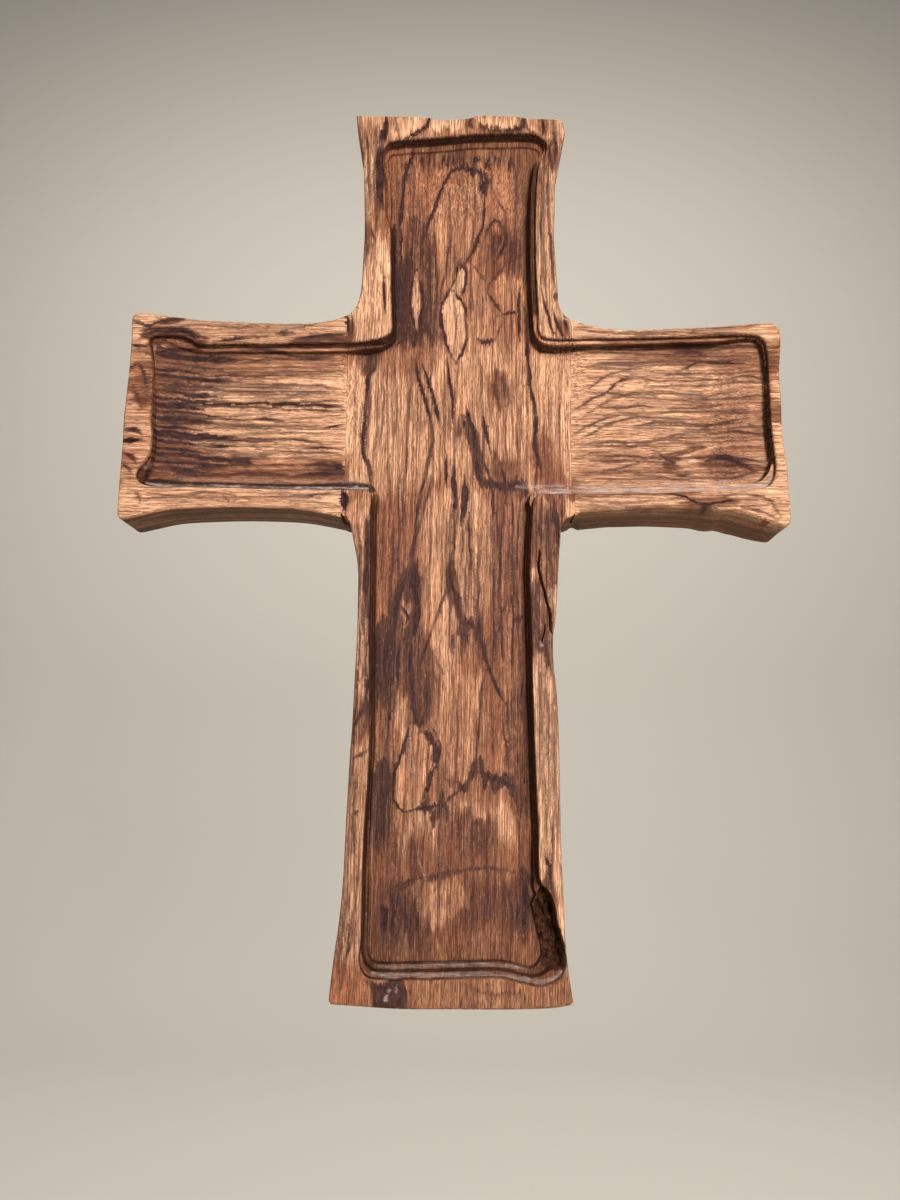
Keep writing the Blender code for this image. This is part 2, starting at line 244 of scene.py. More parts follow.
# the tray's edge on the rim, anticlockwise from the lower right
TRAY = [(28, -40), (30.2, -42.5), (31.8, -46), (32.8, -50), (34, -55), (35.2, -59.5), (35.9, -63), (35.2, -66.4),
        (33, -69), (28, -70.8), (22, -70), (17, -68.7), (8, -68.7), (0, -69), (-8, -69.3), (-14, -69.4),
        (-20, -69.6), (-25.3, -69), (-27.5, -67), (-28.3, -64), (-28, -58), (-28, -45), (-28, -30), (-27.5, -15),
        (-27, 0), (-27.5, 20), (-27.9, 45), (-28.1, 60), (-28.5, 76), (-28.4, 84), (-29.4, 86),
        (-38, 86.1), (-60, 86), (-80, 86.3), (-100, 86.5), (-104.6, 86.9), (-107, 88.4), (-107.9, 90.5),
        (-107, 93), (-105.2, 95.5), (-104, 98), (-103.6, 101), (-103.6, 105), (-104.1, 108),
        (-104.6, 110.6), (-104.3, 113.8), (-104.3, 120), (-104.6, 126), (-105.1, 131), (-106, 136),
        (-106.6, 138.8), (-105.2, 140.2), (-101, 140.5), (-96, 140.3), (-92.4, 139.3), (-90.4, 137.7),
        (-88, 137.6), (-80, 137.9), (-60, 138.2), (-45, 138.5), (-36, 138.9), (-30, 139.9), (-26, 141.2),
        (-23.4, 143.2), (-23.3, 150), (-23.8, 160), (-24, 170), (-24.6, 182), (-26.2, 188), (-26.6, 195),
        (-27, 202), (-27.8, 208), (-27.5, 212.5), (-25.6, 215.4), (-21, 216.6), (-14, 217.1), (-5, 218),
        (5, 219.2), (15, 219.5), (25, 219.6), (29, 218.4), (30.9, 215.6), (30.6, 212), (28.8, 208.8),
        (27.7, 203), (27.2, 195), (27, 180), (27.2, 165), (27.9, 150), (28, 144.5), (29.3, 141.9), (33, 141.2),
        (45, 141.5), (60, 141.8), (80, 142.6), (100, 143.6), (103.8, 143.2), (105.9, 141.2), (106.6, 138),
        (106.8, 125), (107, 110), (107.8, 98), (107.4, 93.2), (105.9, 90.2), (103, 88.6), (98, 88), (85, 87.4),
        (70, 86.6), (50, 85.9), (34, 85.6), (28, 85.4), (26.2, 84), (25.7, 80), (24.8, 60), (25.3, 40),
        (25.5, 30), (26, 10), (26.5, -5), (27.3, -25)]


def on_rim(p):
    return np.asarray(p, float)


def at_depth(p, depth):
    """Points read on the rim's plane, carried along the sight lines to a depth behind it."""
    p = np.asarray(p, float)
    s = 1 + depth / EYE_D
    return np.stack([(p[:, 0] - EYE_X) * s + EYE_X, p[:, 1] * s], 1)


EDGE = spline(TRAY, 0.5, True)
if area(EDGE) < 0:
    EDGE = EDGE[::-1].copy()
# hand-held unevenness of the cutter
_t = np.arange(len(EDGE))
EDGE = inward(EDGE, 0.10 * fbm(_t * 0.045, _t * 0 + 3.1, 3, 5), False)


def pass_offsets(p):
    """How far inside the edge the second and third passes of the router run."""
    x, z = p[:, 0], p[:, 1]
    o2 = np.full(len(p), 0.42)
    o3 = np.full(len(p), 1.6)
    arm = (np.abs(x) > 30)
    low_edge = arm & (z < 95) & (z > 84)
    low_right = (x > 25.9) & (z > 84.4) & (z < 92) | (low_edge & (x > 0))
    o2 = np.where(low_edge, 2.3, o2)
    o2 = np.where(low_right, 2.8, o2)
    o3 = np.where(low_edge | low_right, 3.2, o3)
    bottom = (z < -64)
    o2 = np.where(bottom, 1.8, o2)
    o3 = np.where(bottom, 3.5, o3)
    o3 = np.where((x < -20) & (z > 141) & (z < 187), 0.86, o3)
    o3 = np.where((x < -20) & (z >= 187), 1.7, o3)
    o3 = np.where(z > 215, 2.6, o3)
    right_up = (x > 20) & (z > 145) & (z < 213)
    o2 = np.where(right_up, 1.75, o2)
    o3 = np.where(right_up, 2.25, o3)
    top_r = (x > 27) & (z > 138) & (z < 143.5) & (x < 103)
    o2 = np.where(top_r, 1.2, o2)
    o3 = np.where(top_r, 1.7, o3)
    o3 = np.where((x > 100) & (z > 90) & (z < 142), .84, o3)
    o3 = np.where((x > 23) & (z < 84) & (z > -38), 1.15, o3)
    o3 = np.where((x < -24) & (x > -30) & (z < 84) & (z > -20), 1.0, o3)
    o3 = np.where((x < -24) & (x > -30) & (z <= -20) & (z > -62), 1.4, o3)
    left_end = (x < -101) & (z < 139) & (z > 88)
    o3 = np.where(left_end, 1.0, o3)
    o3 = np.where((x < -34) & (z > 136) & (x > -88), 1.9, o3)
    o3 = np.where((x < -92) & (z > 138), 4.3, o3)
    void = (x > 28.2) & (z < -42) & (z > -61)
    o3 = np.where(void, 6.2, o3)
    corner = (x > 28) & (z <= -61)
    o2 = np.where(corner, 3.2, o2)
    o3 = np.where(corner, 7.0, o3)
    return o2, o3


_o2, _o3 = pass_offsets(EDGE)
_o2 = even(_o2, 7) + 0.06 * fbm(_t * 0.06, _t * 0 + 1.7, 2, 9)
_o3 = even(_o3, 7) + 0.14 * fbm(_t * 0.05, _t * 0 + 8.2, 3, 11)
_o2 = np.maximum(_o2, 0.40)
_o3 = np.maximum(_o3, _o2 + 0.42)
PASS2 = resample(inward(EDGE, _o2), 0.5, True)
PASS3 = resample(inward(EDGE, _o3), 0.5, True)

# ================================================================ flaws
SPLIT = [(28, 66.5), (27.5, 61), (28.5, 56), (29.8, 51), (31, 46), (31.3, 41), (31.9, 38)]
SPLIT2 = [(29.6, 41.5), (29.2, 38.5), (28.4, 35.6)]
GOUGES = [  # grooves cut or torn in the surface: points, half-width, depth, level
    ([(-104, 134.4), (-101.5, 135.3), (-98, 134.9), (-94.5, 133.4), (-91, 132.8), (-86, 132.7)], 0.55, 0.9, "f"),
    ([(-107, 141.6), (-103, 142), (-99, 141.4), (-96.5, 141.9), (-94, 141.6), (-92, 140.6), (-90, 138.6)], 0.5, 0.5, "r"),
    ([(30, 136.3), (36, 136.5), (44, 136.2), (50, 136.4)], 0.35, 0.5, "f"),
    ([(31, 134.6), (38, 134.9), (44, 134.5)], 0.3, 0.35, "f"),
    ([(33, 133.2), (40, 133.4), (44, 133.2)], 0.3, 0.3, "f"),
    ([(27, 138), (28.4, 135.4)], 0.3, 0.35, "f"),
    ([(-62, 134.3), (-50, 134.2), (-38, 134.2), (-32, 134.5)], 0.35, 0.3, "f"),
    ([(-20, 139.5), (-21.4, 137.2)], 0.4, 0.6, "f"),
    ([(-17.6, 140.5), (-18.6, 136.6)], 0.35, 0.5, "f"),
    ([(-14, 8), (-13.3, 0), (-12.7, -9)], 0.22, 0.15, "f"),
    ([(-11, -31), (-9.6, -35), (-8, -40)], 0.25, 0.18, "f"),
    ([(18, 113.2), (26, 113), (33, 112.8)], 0.2, 0.12, "f"),
    ([(36, 111), (38, 117), (41, 122)], 0.2, 0.12, "f"),
    ([(30, 126), (28.5, 118)], 0.2, 0.12, "f"),
    ([(70, 86.2), (74, 85.8), (78, 84.6), (82, 82.6), (86, 82.8), (92, 84)], 0.35, 0.35, "r"),
    ([(-11, 225.9), (-12.5, 221), (-16, 218.4), (-20, 216.6), (-24, 215)], 0.35, 0.35, "r"),
    ([(-113.3, 102.4), (-110, 102.6), (-107.3, 102.7)], 0.75, 0.7, "r"),
    ([(-38.1, 85), (-37.2, 82), (-37.4, 78.5)], 0.7, 0.6, "r"),
    ([(-36.9, 148), (-36.7, 144.5), (-37.6, 140.6)], 0.35, 0.5, "r"),
]

# ================================================================ figure of the wood
# veins: level (f on the floor, r on the rim), half-width, darkness, points
V = []


def vein(level, half, dark, *pts):
    V.append((level, half * 1.12 + 0.03, min(1.0, dark * 1.1), pts))


# upper limb
vein("f", .42, .8, (-16, 212), (-18, 205), (-19.5, 200), (-20.5, 188), (-21.5, 180))
vein("f", .35, .9, (-12.5, 178), (-10.5, 185), (-8.5, 190), (-7, 195), (-5, 199), (-3, 202), (0, 203.5), (4, 202.6), (8.5, 202))
vein("f", .95, .98, (0.4, 203.4), (5, 202.8), (9.4, 201.6))
vein("f", .5, .9, (4.6, 203), (4.8, 200.2))
vein("f", .45, .9, (7.4, 203), (7.6, 198.4))
vein("f", .9, 1.0, (7.8, 199.6), (8.6, 197), (9.2, 193.6))
vein("f", .6, 1.0, (8.4, 202.4), (9.4, 199.4), (9.2, 196), (8.8, 193))
vein("f", .8, .85, (6.8, 198.2), (8.2, 196), (9.3, 194))
vein("f", .34, .8, (8.8, 194), (8.5, 188), (8, 183), (6.5, 178), (5, 174), (3, 170), (1.5, 168))
vein("f", .22, .5, (0.8, 213), (-0.6, 208), (-2, 203))
vein("f", .45, .7, (20.5, 210), (20.3, 205), (19.8, 198))
vein("f", .2, .45, (12, 195), (14, 191), (16, 188), (16.6, 180))
vein("f", .8, .95, (-22.9, 183), (-23, 170), (-22.8, 160), (-22.4, 150), (-22.2, 140))
vein("f", .3, .8, (-20.6, 182), (-20.3, 172), (-20.8, 166))
vein("f", .32, .85, (-14.6, 167), (-16.2, 161), (-16.7, 153), (-15.6, 146), (-14.3, 142))
vein("f", .38, .9, (-14.6, 167), (-13.1, 161), (-12.5, 155), (-12.9, 148), (-14, 142))
vein("f", .3, .55, (-8.9, 182), (-8.2, 170), (-7.4, 160), (-8, 148), (-7.3, 138))
vein("f", .25, .5, (-11, 180), (-11.2, 168), (-10.4, 158), (-11, 148), (-9.6, 136))
vein("f", .34, .92, (-0.2, 169.5), (-1.2, 163), (-3.4, 157.4), (-5.6, 154), (-6, 149), (-5.8, 144.5), (-4.6, 141), (-3, 136), (-0.6, 131.5))
vein("f", .34, .92, (-0.6, 131.5), (1.4, 135.6), (2.8, 139), (3, 143), (2.6, 148), (2.3, 152), (0.3, 155.5))
vein("f", .3, .85, (-1.8, 158.3), (0.2, 155.6), (2.2, 153))
vein("f", .3, .85, (0.3, 155.5), (1.6, 158), (2.4, 161), (2.3, 166), (1.6, 169))
vein("f", .7, .9, (0.4, 169.8), (1.2, 167.2), (2.6, 169))
vein("f", .25, .7, (2.4, 169), (5.2, 175.5), (8, 182.5))
vein("f", .7, .85, (7, 140.4), (9.6, 139.4), (12.6, 140.4))
vein("f", .22, .7, (5.6, 168), (7.4, 164.6), (9.4, 161.4))
vein("f", .3, .75, (9.6, 158.6), (12, 155), (14, 151.8), (15.6, 149.2))
vein("f", .42, .85, (15, 149.4), (17.5, 150.4), (20.6, 149.9))
vein("f", .32, .75, (16.6, 170), (14.6, 165.8), (11.2, 161.6), (10.2, 158.5))
vein("f", .36, .8, (9, 178.6), (10.3, 182.4), (12.7, 185), (14.8, 183), (16.2, 179.8), (15.7, 175.2), (13.7, 171.5), (11.6, 167.6))
vein("f", .25, .5, (12.6, 166), (10.4, 160.6))
vein("f", .3, .6, (18, 181), (18.1, 172), (16.8, 163))
vein("f", .3, .65, (20, 181), (20, 172), (18.8, 163))
vein("f", .26, .6, (21.4, 181), (21.4, 172), (20.6, 163))
vein("f", .34, .8, (21.4, 160), (20.9, 152), (21.3, 140))
vein("f", .4, .8, (22.8, 153), (23.4, 146), (23.6, 140), (24.1, 132), (24.8, 124), (25.6, 120), (26.6, 115), (26.6, 106), (26.3, 102), (27.6, 98), (28.7, 92))
vein("f", .25, .6, (-2.3, 183), (-3.5, 175), (-5, 165), (-6.3, 158), (-6.3, 154))
vein("f", .25, .5, (4.5, 168), (4.4, 160), (5.4, 152))
vein("f", .22, .45, (13, 140), (14.6, 146), (14.2, 150))
# crossing
vein("f", .42, .95, (-28.4, 129), (-30.4, 126), (-31, 118), (-31.2, 112), (-31.9, 104), (-31.6, 99), (-29.6, 95), (-28.8, 90), (-28.6, 86))
vein("f", .36, .9, (-14.8, 133), (-13.4, 127), (-12, 121), (-10.4, 116), (-9, 111), (-8.3, 106), (-9, 99), (-10, 94), (-11.5, 86), (-13.5, 74))
vein("f", .34, .9, (-12.4, 131), (-10.2, 125), (-8.3, 120), (-7, 114), (-6, 108))
vein("f", .32, .85, (-3.7, 133), (-2.8, 127), (-2, 121), (-1.5, 110))
vein("f", .2, .4, (-18, 120), (-16.4, 115), (-14.8, 109))
vein("f", .55, .8, (3.3, 115), (4.5, 111))
vein("f", .7, .9, (2.2, 113), (4.4, 110.6), (5.8, 105), (6.6, 99))
vein("f", .5, .9, (6.2, 101), (7.2, 93), (8.6, 87.5))
vein("f", .8, .4, (-.2, 111), (.4, 106), (.2, 101))
vein("f", .34, .8, (7.8, 116.5), (9.2, 109.5), (10.6, 103.5), (11.6, 99.5))
vein("f", .5, .85, (-.6, 97), (-.9, 90), (-.2, 84), (-1, 77))
vein("f", 1.1, .7, (7.6, 92.4), (9.6, 89.6), (13, 88.2), (18, 87.9), (22.6, 89.8))
vein("f", .75, .85, (2.4, 92), (2.9, 85), (2.5, 78), (1.6, 74))
vein("f", .35, .8, (-3.3, 98.5), (-3.4, 93), (-3.2, 87.5))
vein("f", .26, .6, (-1.5, 95), (-0.9, 85), (-0.5, 75), (-0.6, 62))
vein("f", .24, .55, (2.8, 94), (2.4, 84), (2.5, 75), (2.2, 64))
vein("f", .26, .55, (-8, 92), (-10, 83), (-12, 74), (-13.4, 66))
vein("f", .24, .5, (-19.5, 95), (-18, 85), (-16.5, 74))
vein("f", .24, .5, (-22.5, 95), (-22.2, 86), (-21.5, 78))
vein("f", .3, .6, (12.6, 129), (13.2, 122), (14.4, 115))
vein("f", .22, .5, (15.6, 128), (16, 121), (16.2, 116))
vein("f", .22, .5, (20, 110), (20.3, 104), (21, 98))
vein("f", .34, .8, (9.6, 96), (11.6, 90), (12.4, 84), (12.2, 76))
vein("f", .34, .8, (14.6, 97), (16.2, 90), (16.8, 82))
vein("f", .2, .4, (-25.5, 128), (-25, 115), (-26.2, 100))
vein("f", .2, .4, (-21.5, 131), (-20.6, 116), (-21.6, 101))
# lower limb
vein("f", .45, .8, (-12.8, 78), (-13.2, 72), (-14.4, 64), (-16, 58.4), (-17.4, 54), (-19.2, 48), (-19.7, 42), (-19.6, 36))
vein("f", .6, .85, (-17.2, 55), (-19, 49.4), (-19.4, 43))
vein("f", .7, .85, (-12.4, 62), (-13, 56), (-13.2, 51), (-12.2, 46), (-12.8, 40.5), (-13.8, 36))
vein("f", .5, .8, (-14.4, 64), (-14, 58), (-15, 53))
vein("f", .3, .7, (-18.4, 47.5), (-16.6, 45.6), (-15.2, 43), (-16, 40.6))
vein("f", .26, .6, (-2.1, 57), (-4.2, 48.4), (-6.7, 41.4), (-8.4, 36), (-10.1, 30.7), (-11.4, 23.6))
vein("f", .4, .8, (-1.3, 65.6), (-1.7, 59.6), (-1.2, 54.6), (0.2, 50.3), (1.1, 46.1), (2.3, 41.8))
vein("f", .4, .7, (2.3, 41.8), (5.2, 41.2), (7.3, 39.3))
vein("f", .3, .6, (4.2, 40.6), (4, 37), (4.8, 34.4))
vein("f", .55, .8, (-0.2, 38), (-0.7, 34.8), (-1, 32))
vein("f", .25, .7, (-6.2, 31), (-4.8, 27.6), (-3, 24.6))
vein("f", .22, .6, (-7.2, 28), (-6.2, 24), (-4.6, 21))
vein("f", .36, .8, (7.3, 39.3), (8.5, 35.9), (9.8, 30.7), (11.9, 25.6), (14, 20.5), (16.5, 15.6))
vein("f", .7, .8, (9.3, 33.4), (10.2, 30.4))
vein("f", .24, .6, (10.2, 26), (9, 20), (8.4, 12), (8, 4), (7, -5))
vein("f", .8, .8, (20.4, 44), (21.4, 42.6))
vein("f", .28, .6, (20, 58), (18, 51), (15.5, 44), (14, 38), (13.4, 30))
vein("f", .24, .5, (13.4, 74), (13, 62), (13.4, 50))
vein("f", .24, .5, (8.4, 74), (7.6, 62), (7, 50))
vein("f", .24, .5, (17.6, 76), (17.8, 66), (17, 56))
vein("f", .3, .5, (-20.6, 76), (-20.8, 62), (-21.4, 50), (-21.4, 38))
vein("f", .55, .8, (-21.8, 40), (-22.4, 32), (-22.4, 22))
vein("f", .5, .75, (-17.8, 36), (-18.4, 28), (-18.2, 20))
vein("f", .5, .75, (-13.8, 36), (-14.2, 28), (-13.4, 20), (-12.4, 12), (-10.6, 6))
vein("f", .45, .75, (-21.6, 22), (-20.6, 12), (-21.2, 2))
vein("f", .4, .7, (-9.4, 21), (-9.2, 14), (-11.6, 5))
vein("f", .36, .9, (-13.8, 9), (-15.2, 3.5), (-17, -2), (-18.4, -6), (-19, -9), (-18.9, -13), (-17.8, -17), (-15, -19.2))
vein("f", .36, .85, (-15, -19.2), (-12.2, -18.6), (-10, -18), (-6, -17.4), (-3, -17.3), (-1.5, -19.4))
vein("f", .4, .9, (-6.4, 7), (-4.6, 3), (-4.4, -1), (-5.4, -4.6), (-7, -8), (-8, -12), (-10.4, -17.6))
vein("f", 1.1, .85, (-9.6, 6.6), (-7.6, 4.4), (-6, 1.6))
vein("f", .85, .9, (-5.4, 3.4), (-5, -0.5), (-6.4, -4.2))
vein("f", .24, .6, (-2, 2.4), (-2.2, -5), (-3, -12))
vein("f", .32, .8, (-2.2, -16.6), (-0.2, -14), (2, -12), (4, -10), (5.6, -7.4), (7.6, -5.2))
vein("f", .55, .8, (7.4, -6), (10, -7.2), (12.4, -8.2), (16, -9.2), (20, -11))
vein("f", .45, .6, (-2.4, -8.4), (-0.6, -10), (1.4, -11.4))
vein("f", .3, .55, (-0.4, -8), (0.6, -12))
vein("f", .3, .6, (15.6, 12), (16.8, 2), (18.2, -6))
vein("f", .3, .5, (12.2, 14), (12.6, 4), (13, -4))
vein("f", .28, .6, (-23, -8), (-22.4, -20), (-22.8, -32))
vein("f", .3, .6, (-21, -44), (-16.4, -41.2), (-11, -39.6), (-6, -38.5), (0, -37.2), (6, -36.5), (15, -36), (20, -37.4))
vein("f", .9, .55, (-9, -39.8), (-5, -39), (-1, -38.4))
vein("f", .28, .36, (1.6, -24), (4.6, -21.8), (8.8, -22.6), (10.4, -26), (8, -29), (4.6, -28.6))
vein("f", .26, .36, (0, -28.4), (4, -31.6), (9, -31.6), (12.6, -28), (13, -22))
vein("f", .24, .3, (4.6, -25), (6.6, -24), (7.8, -25.6), (6.4, -27))
vein("f", .3, .55, (-19, -43.5), (-15, -42), (-12, -41.2))
vein("f", .8, .9, (-21.4, -46), (-20.8, -51), (-21.2, -57))
vein("f", .5, .9, (-18.8, -44.4), (-18, -50), (-18.4, -58))
vein("f", .35, .85, (-16.2, -43.6), (-15.6, -49), (-15.9, -55))
vein("f", .9, .9, (22.8, -39), (23.2, -46), (22.6, -55))
vein("f", .45, .85, (20.4, -42), (20.8, -48), (20.3, -54))
vein("f", .3, .7, (-11.8, -46), (-11.2, -51), (-10.6, -55))
vein("f", .3, .7, (-7.2, -47), (-6.8, -53), (-7.4, -57))
vein("f", .3, .5, (16, -38), (18.4, -46), (19, -58))
vein("f", .26, .45, (9, -20), (10, -30), (9.2, -36))
vein("f", .26, .45, (-12, -22), (-13, -32), (-12.6, -39))
vein("f", .2, .4, (3, -18), (2.4, -28), (3.4, -36))
vein("f", .26, .5, (-17, -22), (-17.6, -31), (-17, -40))
# rims of the upright
vein("r", .38, .85, (-26.2, 163), (-26, 156), (-25.4, 149.6))
vein("r", .3, .7, (-30.6, 176), (-32, 172), (-33.4, 169))
vein("r", .3, .6, (-31.6, 183), (-29.9, 178), (-30.2, 172))
vein("r", .22, .5, (-31, 224), (-30.4, 214), (-30.8, 200), (-29.6, 188))
vein("r", .8, .98, (-26.6, 226), (-27.4, 221), (-28.4, 214), (-28.3, 205), (-28.4, 196), (-27.4, 189))
vein("r", .4, .8, (-29.8, 214), (-29.6, 202), (-29.4, 192))
vein("r", .25, .6, (-34.6, 224), (-33.4, 214), (-32.4, 202), (-32, 192))
vein("r", .3, .55, (-23.8, 226), (-23, 221), (-22, 217))
vein("r", .36, .9, (-11.2, 226.5), (-12.6, 222.4), (-15.6, 219.4), (-19.5, 217))
vein("r", .34, .75, (3.4, 226), (3.2, 223.4), (4.2, 221))
vein("r", .42, .85, (23, 224.4), (22.2, 222), (18.4, 220.6), (12, 220.2))
vein("r", .4, .85, (29.2, 226), (29.9, 221.4), (29.6, 219))
vein("r", .36, .7, (32.8, 225.6), (33.6, 221.4), (32.2, 213.6), (33, 204.5))
vein("r", .3, .7, (33.4, 226), (33.6, 220), (34.4, 214), (33.4, 206))
vein("r", .26, .6, (29, 206), (29.4, 196), (28.8, 184), (29, 172), (28.6, 160))
vein("r", .3, .6, (31.4, 206), (31.4, 194), (32, 180), (32.8, 168), (33.6, 158))
vein("r", .32, .75, (28.8, 160), (30, 154), (31.2, 149), (32.4, 144), (34.6, 141.6))
vein("r", .32, .75, (32.8, 152), (33.8, 147.4), (35.6, 143), (37.6, 140.8))
vein("r", .35, .8, (36.6, 150), (37.2, 146), (38.2, 142))
vein("r", .5, .7, (33.6, 159), (33.8, 155))
vein("r", .45, .8, (-28.2, 86), (-27.9, 76), (-27.6, 66), (-27.4, 56), (-27.8, 46), (-27.6, 34), (-27, 24))
vein("r", .3, .6, (-33, 74), (-31.8, 66), (-31.4, 58), (-31.2, 50))
vein("r", .55, .7, (-29.4, 74), (-29, 66), (-29.2, 56), (-29.8, 48))
vein("r", .35, .6, (-30.2, 50), (-29.6, 40), (-28.8, 30), (-29.6, 24), (-31.6, 21))
vein("r", .3, .7, (-28.6, 30), (-28, 20), (-28.2, 10))
vein("r", .5, .75, (-28, 16), (-30, 12), (-32.4, 6))
vein("r", .3, .7, (-27.5, 0), (-30, -1.6), (-32, -2.5))
vein("r", .8, .7, (-30.8, -18.6), (-30.2, -20.4))
vein("r", .3, .6, (-30, -8), (-31.2, -14), (-31.4, -22), (-30.8, -32))
vein("r", .3, .55, (-29, -28), (-29.4, -40), (-30.4, -52), (-32.4, -64))
vein("r", .4, .65, (-30.6, -50), (-31.6, -60), (-33.6, -72))
vein("r", .3, .5, (-32.4, -40), (-33.4, -54), (-35, -68))
vein("r", .35, .7, (28.8, 84), (28.2, 76), (28.4, 68))
vein("r", .6, .8, (32.6, 84), (33.2, 78), (34.2, 72), (33.6, 66))
vein("r", .3, .6, (30.4, 82), (30.6, 72), (31.4, 62), (32.6, 52))
vein("r", .3, .65, (26.6, 56), (26.8, 48), (27.4, 40), (27, 32))
vein("r", .4, .7, (29.4, 36), (30.4, 30), (32, 24.6))
vein("r", .3, .55, (27.2, 34), (28, 26), (28.4, 14), (28.6, 2))
vein("r", .26, .5, (30, 22), (30.6, 8), (30.4, -6), (30.8, -20))
vein("r", .26, .5, (32.4, 14), (32.4, 0), (32.8, -14), (33, -28))
vein("r", .5, .8, (29.6, -30), (30.6, -36), (31.4, -42))
vein("r", .4, .7, (-26, -70), (-22, -71.4), (-17.6, -70.8), (-14, -72.4), (-13.4, -77.6))
vein("r", 1.3, .95, (-22.6, -71), (-20.6, -73), (-21.4, -77.4))
vein("r", 1.0, .95, (-17.4, -71.4), (-15.6, -74), (-16.2, -77.6))
vein("r", .2, .4, (6, -70.6), (9, -72.4), (15, -73), (22, -72.6))
# left arm
for _z, _d in ((130.6, .8), (123.2, .85), (118.2, .7), (113.6, .9), (109.2, .75), (104.2, .8), (101.2, .85), (96.6, 1.), (92, .8)):
    _e = 7 * math.sin(_z * 1.7)
    vein("f", .62 + .2 * math.sin(_z * 2.9), _d, (-103.4, _z + .3), (-97, _z), (-91.5, _z + .5 * math.sin(_z)), (-85 + _e * .5, _z - .4), (-79 + _e, _z - .6))
    vein("f", .3, _d * .9, (-104, _z + 2.2), (-97, _z + 2.1), (-90 - _e * .5, _z + 2.4), (-80 - _e, _z + 1.8))
vein("f", .3, .8, (-104, 116.4), (-90, 115.4), (-76, 115.2), (-66, 115.8), (-60, 115.4), (-50, 115.2), (-39, 114.8))
vein("f", .3, .65, (-71, 110.2), (-64, 110.2), (-58, 109))
vein("f", .26, .7, (-46, 107.8), (-42, 108), (-38.6, 108.8))
vein("f", .3, .7, (-101, 103), (-90, 102.8), (-82, 103.4), (-70, 102.6), (-56, 103.4), (-46, 102.4))
vein("f", .28, .75, (-55, 97.8), (-52.6, 99.8), (-47, 100.6), (-38.6, 100.2))
vein("f", .8, .75, (-76, 95.4), (-72, 95.8), (-68.4, 94.4))
vein("f", .7, .8, (-88, 93.2), (-83, 93.4), (-78, 92.6))
vein("f", .5, .7, (-52, 94.6), (-46, 94.8), (-40, 94))
vein("f", 1.1, .9, (-40.6, 94.6), (-38.6, 93.4))
vein("f", .5, .7, (-54, 90.8), (-46, 91.4), (-39, 91.2))
vein("f", .3, .55, (-84, 98.6), (-74, 98.8), (-68, 97.6), (-60, 98.2))
vein("f", .28, .55, (-94, 127.6), (-84, 127), (-76, 125.4), (-70, 125.8))
vein("f", .4, .7, (-98, 127.8), (-90, 127.4), (-84, 126.2))
vein("f", .3, .6, (-74, 132.6), (-64, 133), (-54, 131.6), (-42, 131.8))
vein("f", .4, .65, (-58, 132), (-52, 130.8), (-44, 130.4))
vein("f", .3, .5, (-86, 122), (-72, 121.4), (-56, 121.8), (-40, 121))
vein("f", .26, .5, (-86, 107), (-72, 107.6), (-60, 106.6))
vein("f", .26, .5, (-80, 119), (-64, 118.6), (-50, 118.9))
vein("f", .3, .6, (-94, 90.4), (-80, 90.6), (-66, 91.6), (-56, 90.6))
vein("r", .36, .85, (-113.6, 146), (-110.4, 145), (-106.8, 143.8), (-104.4, 145), (-100, 146.2), (-95, 147))
vein("r", .6, .6, (-104, 145.8), (-100.6, 146.4), (-96.4, 147.2))
vein("r", .4, .8, (-84, 138.6), (-76, 139.6), (-68, 140.2), (-64, 141))
vein("r", .85, .85, (-63, 141), (-59.6, 142.4), (-56.4, 141.6))
vein("r", .26, .6, (-58, 144.4), (-54, 144.2), (-49, 145.6))
vein("r", .22, .5, (-84, 143), (-74, 143.4), (-66, 143))
vein("r", .3, .5, (-54, 139.8), (-46, 140.4), (-40, 139.8))
vein("r", .28, .7, (-113.4, 137.2), (-110, 136.6), (-107, 136.4))
vein("r", .24, .6, (-113.4, 134.6), (-109, 134.8), (-106.8, 133.6))
vein("r", .3, .6, (-113, 128), (-109.6, 130), (-107.4, 126), (-106, 119))
vein("r", .3, .6, (-111, 122), (-109, 118), (-107.6, 114.4))
vein("r", .5, .7, (-113.4, 106.2), (-109, 105.8), (-106.6, 104.4))
vein("r", .45, .7, (-113.2, 98.2), (-109.6, 96.8), (-107.8, 94.6))
vein("r", .35, .6, (-113.2, 94.6), (-110.4, 92.6), (-109.2, 90.6))
vein("r", .24, .5, (-108, 84.6), (-106, 82.6), (-105.8, 80.6))
vein("r", .22, .45, (-103, 84), (-94, 83.2), (-84, 84.6), (-74, 83.6))
vein("r", .24, .5, (-78, 84), (-76.6, 82), (-76.2, 80.6))
vein("r", .24, .6, (-64, 83.4), (-54, 83.6), (-44, 84.6), (-39, 85))
vein("r", .2, .4, (-58, 81.6), (-48, 81.8), (-40, 80.6))
vein("r", .55, 1.0, (-113.6, 102.4), (-110, 102.5), (-107.2, 102.7))
vein("r", .8, .95, (-38.4, 86), (-37.4, 83), (-37.2, 79))
vein("r", .4, .9, (-38.3, 148.6), (-38, 145), (-38.3, 141))
vein("r", .35, .9, (-36.8, 148), (-36.5, 144.6), (-37.4, 140.6))
vein("r", .5, .9, (-107, 142.4), (-103, 142.9), (-98, 142.2), (-93, 142), (-89.6, 139.6))
vein("r", .35, .8, (-56, 139.6), (-48, 140.6), (-40, 141.6))
vein("r", .3, .75, (70, 86.3), (74, 86), (78, 84.7), (82, 82.7), (88, 83.4), (92, 84.2), (98, 84.6))
vein("r", .7, .8, (82.4, 82.2), (84.6, 82))
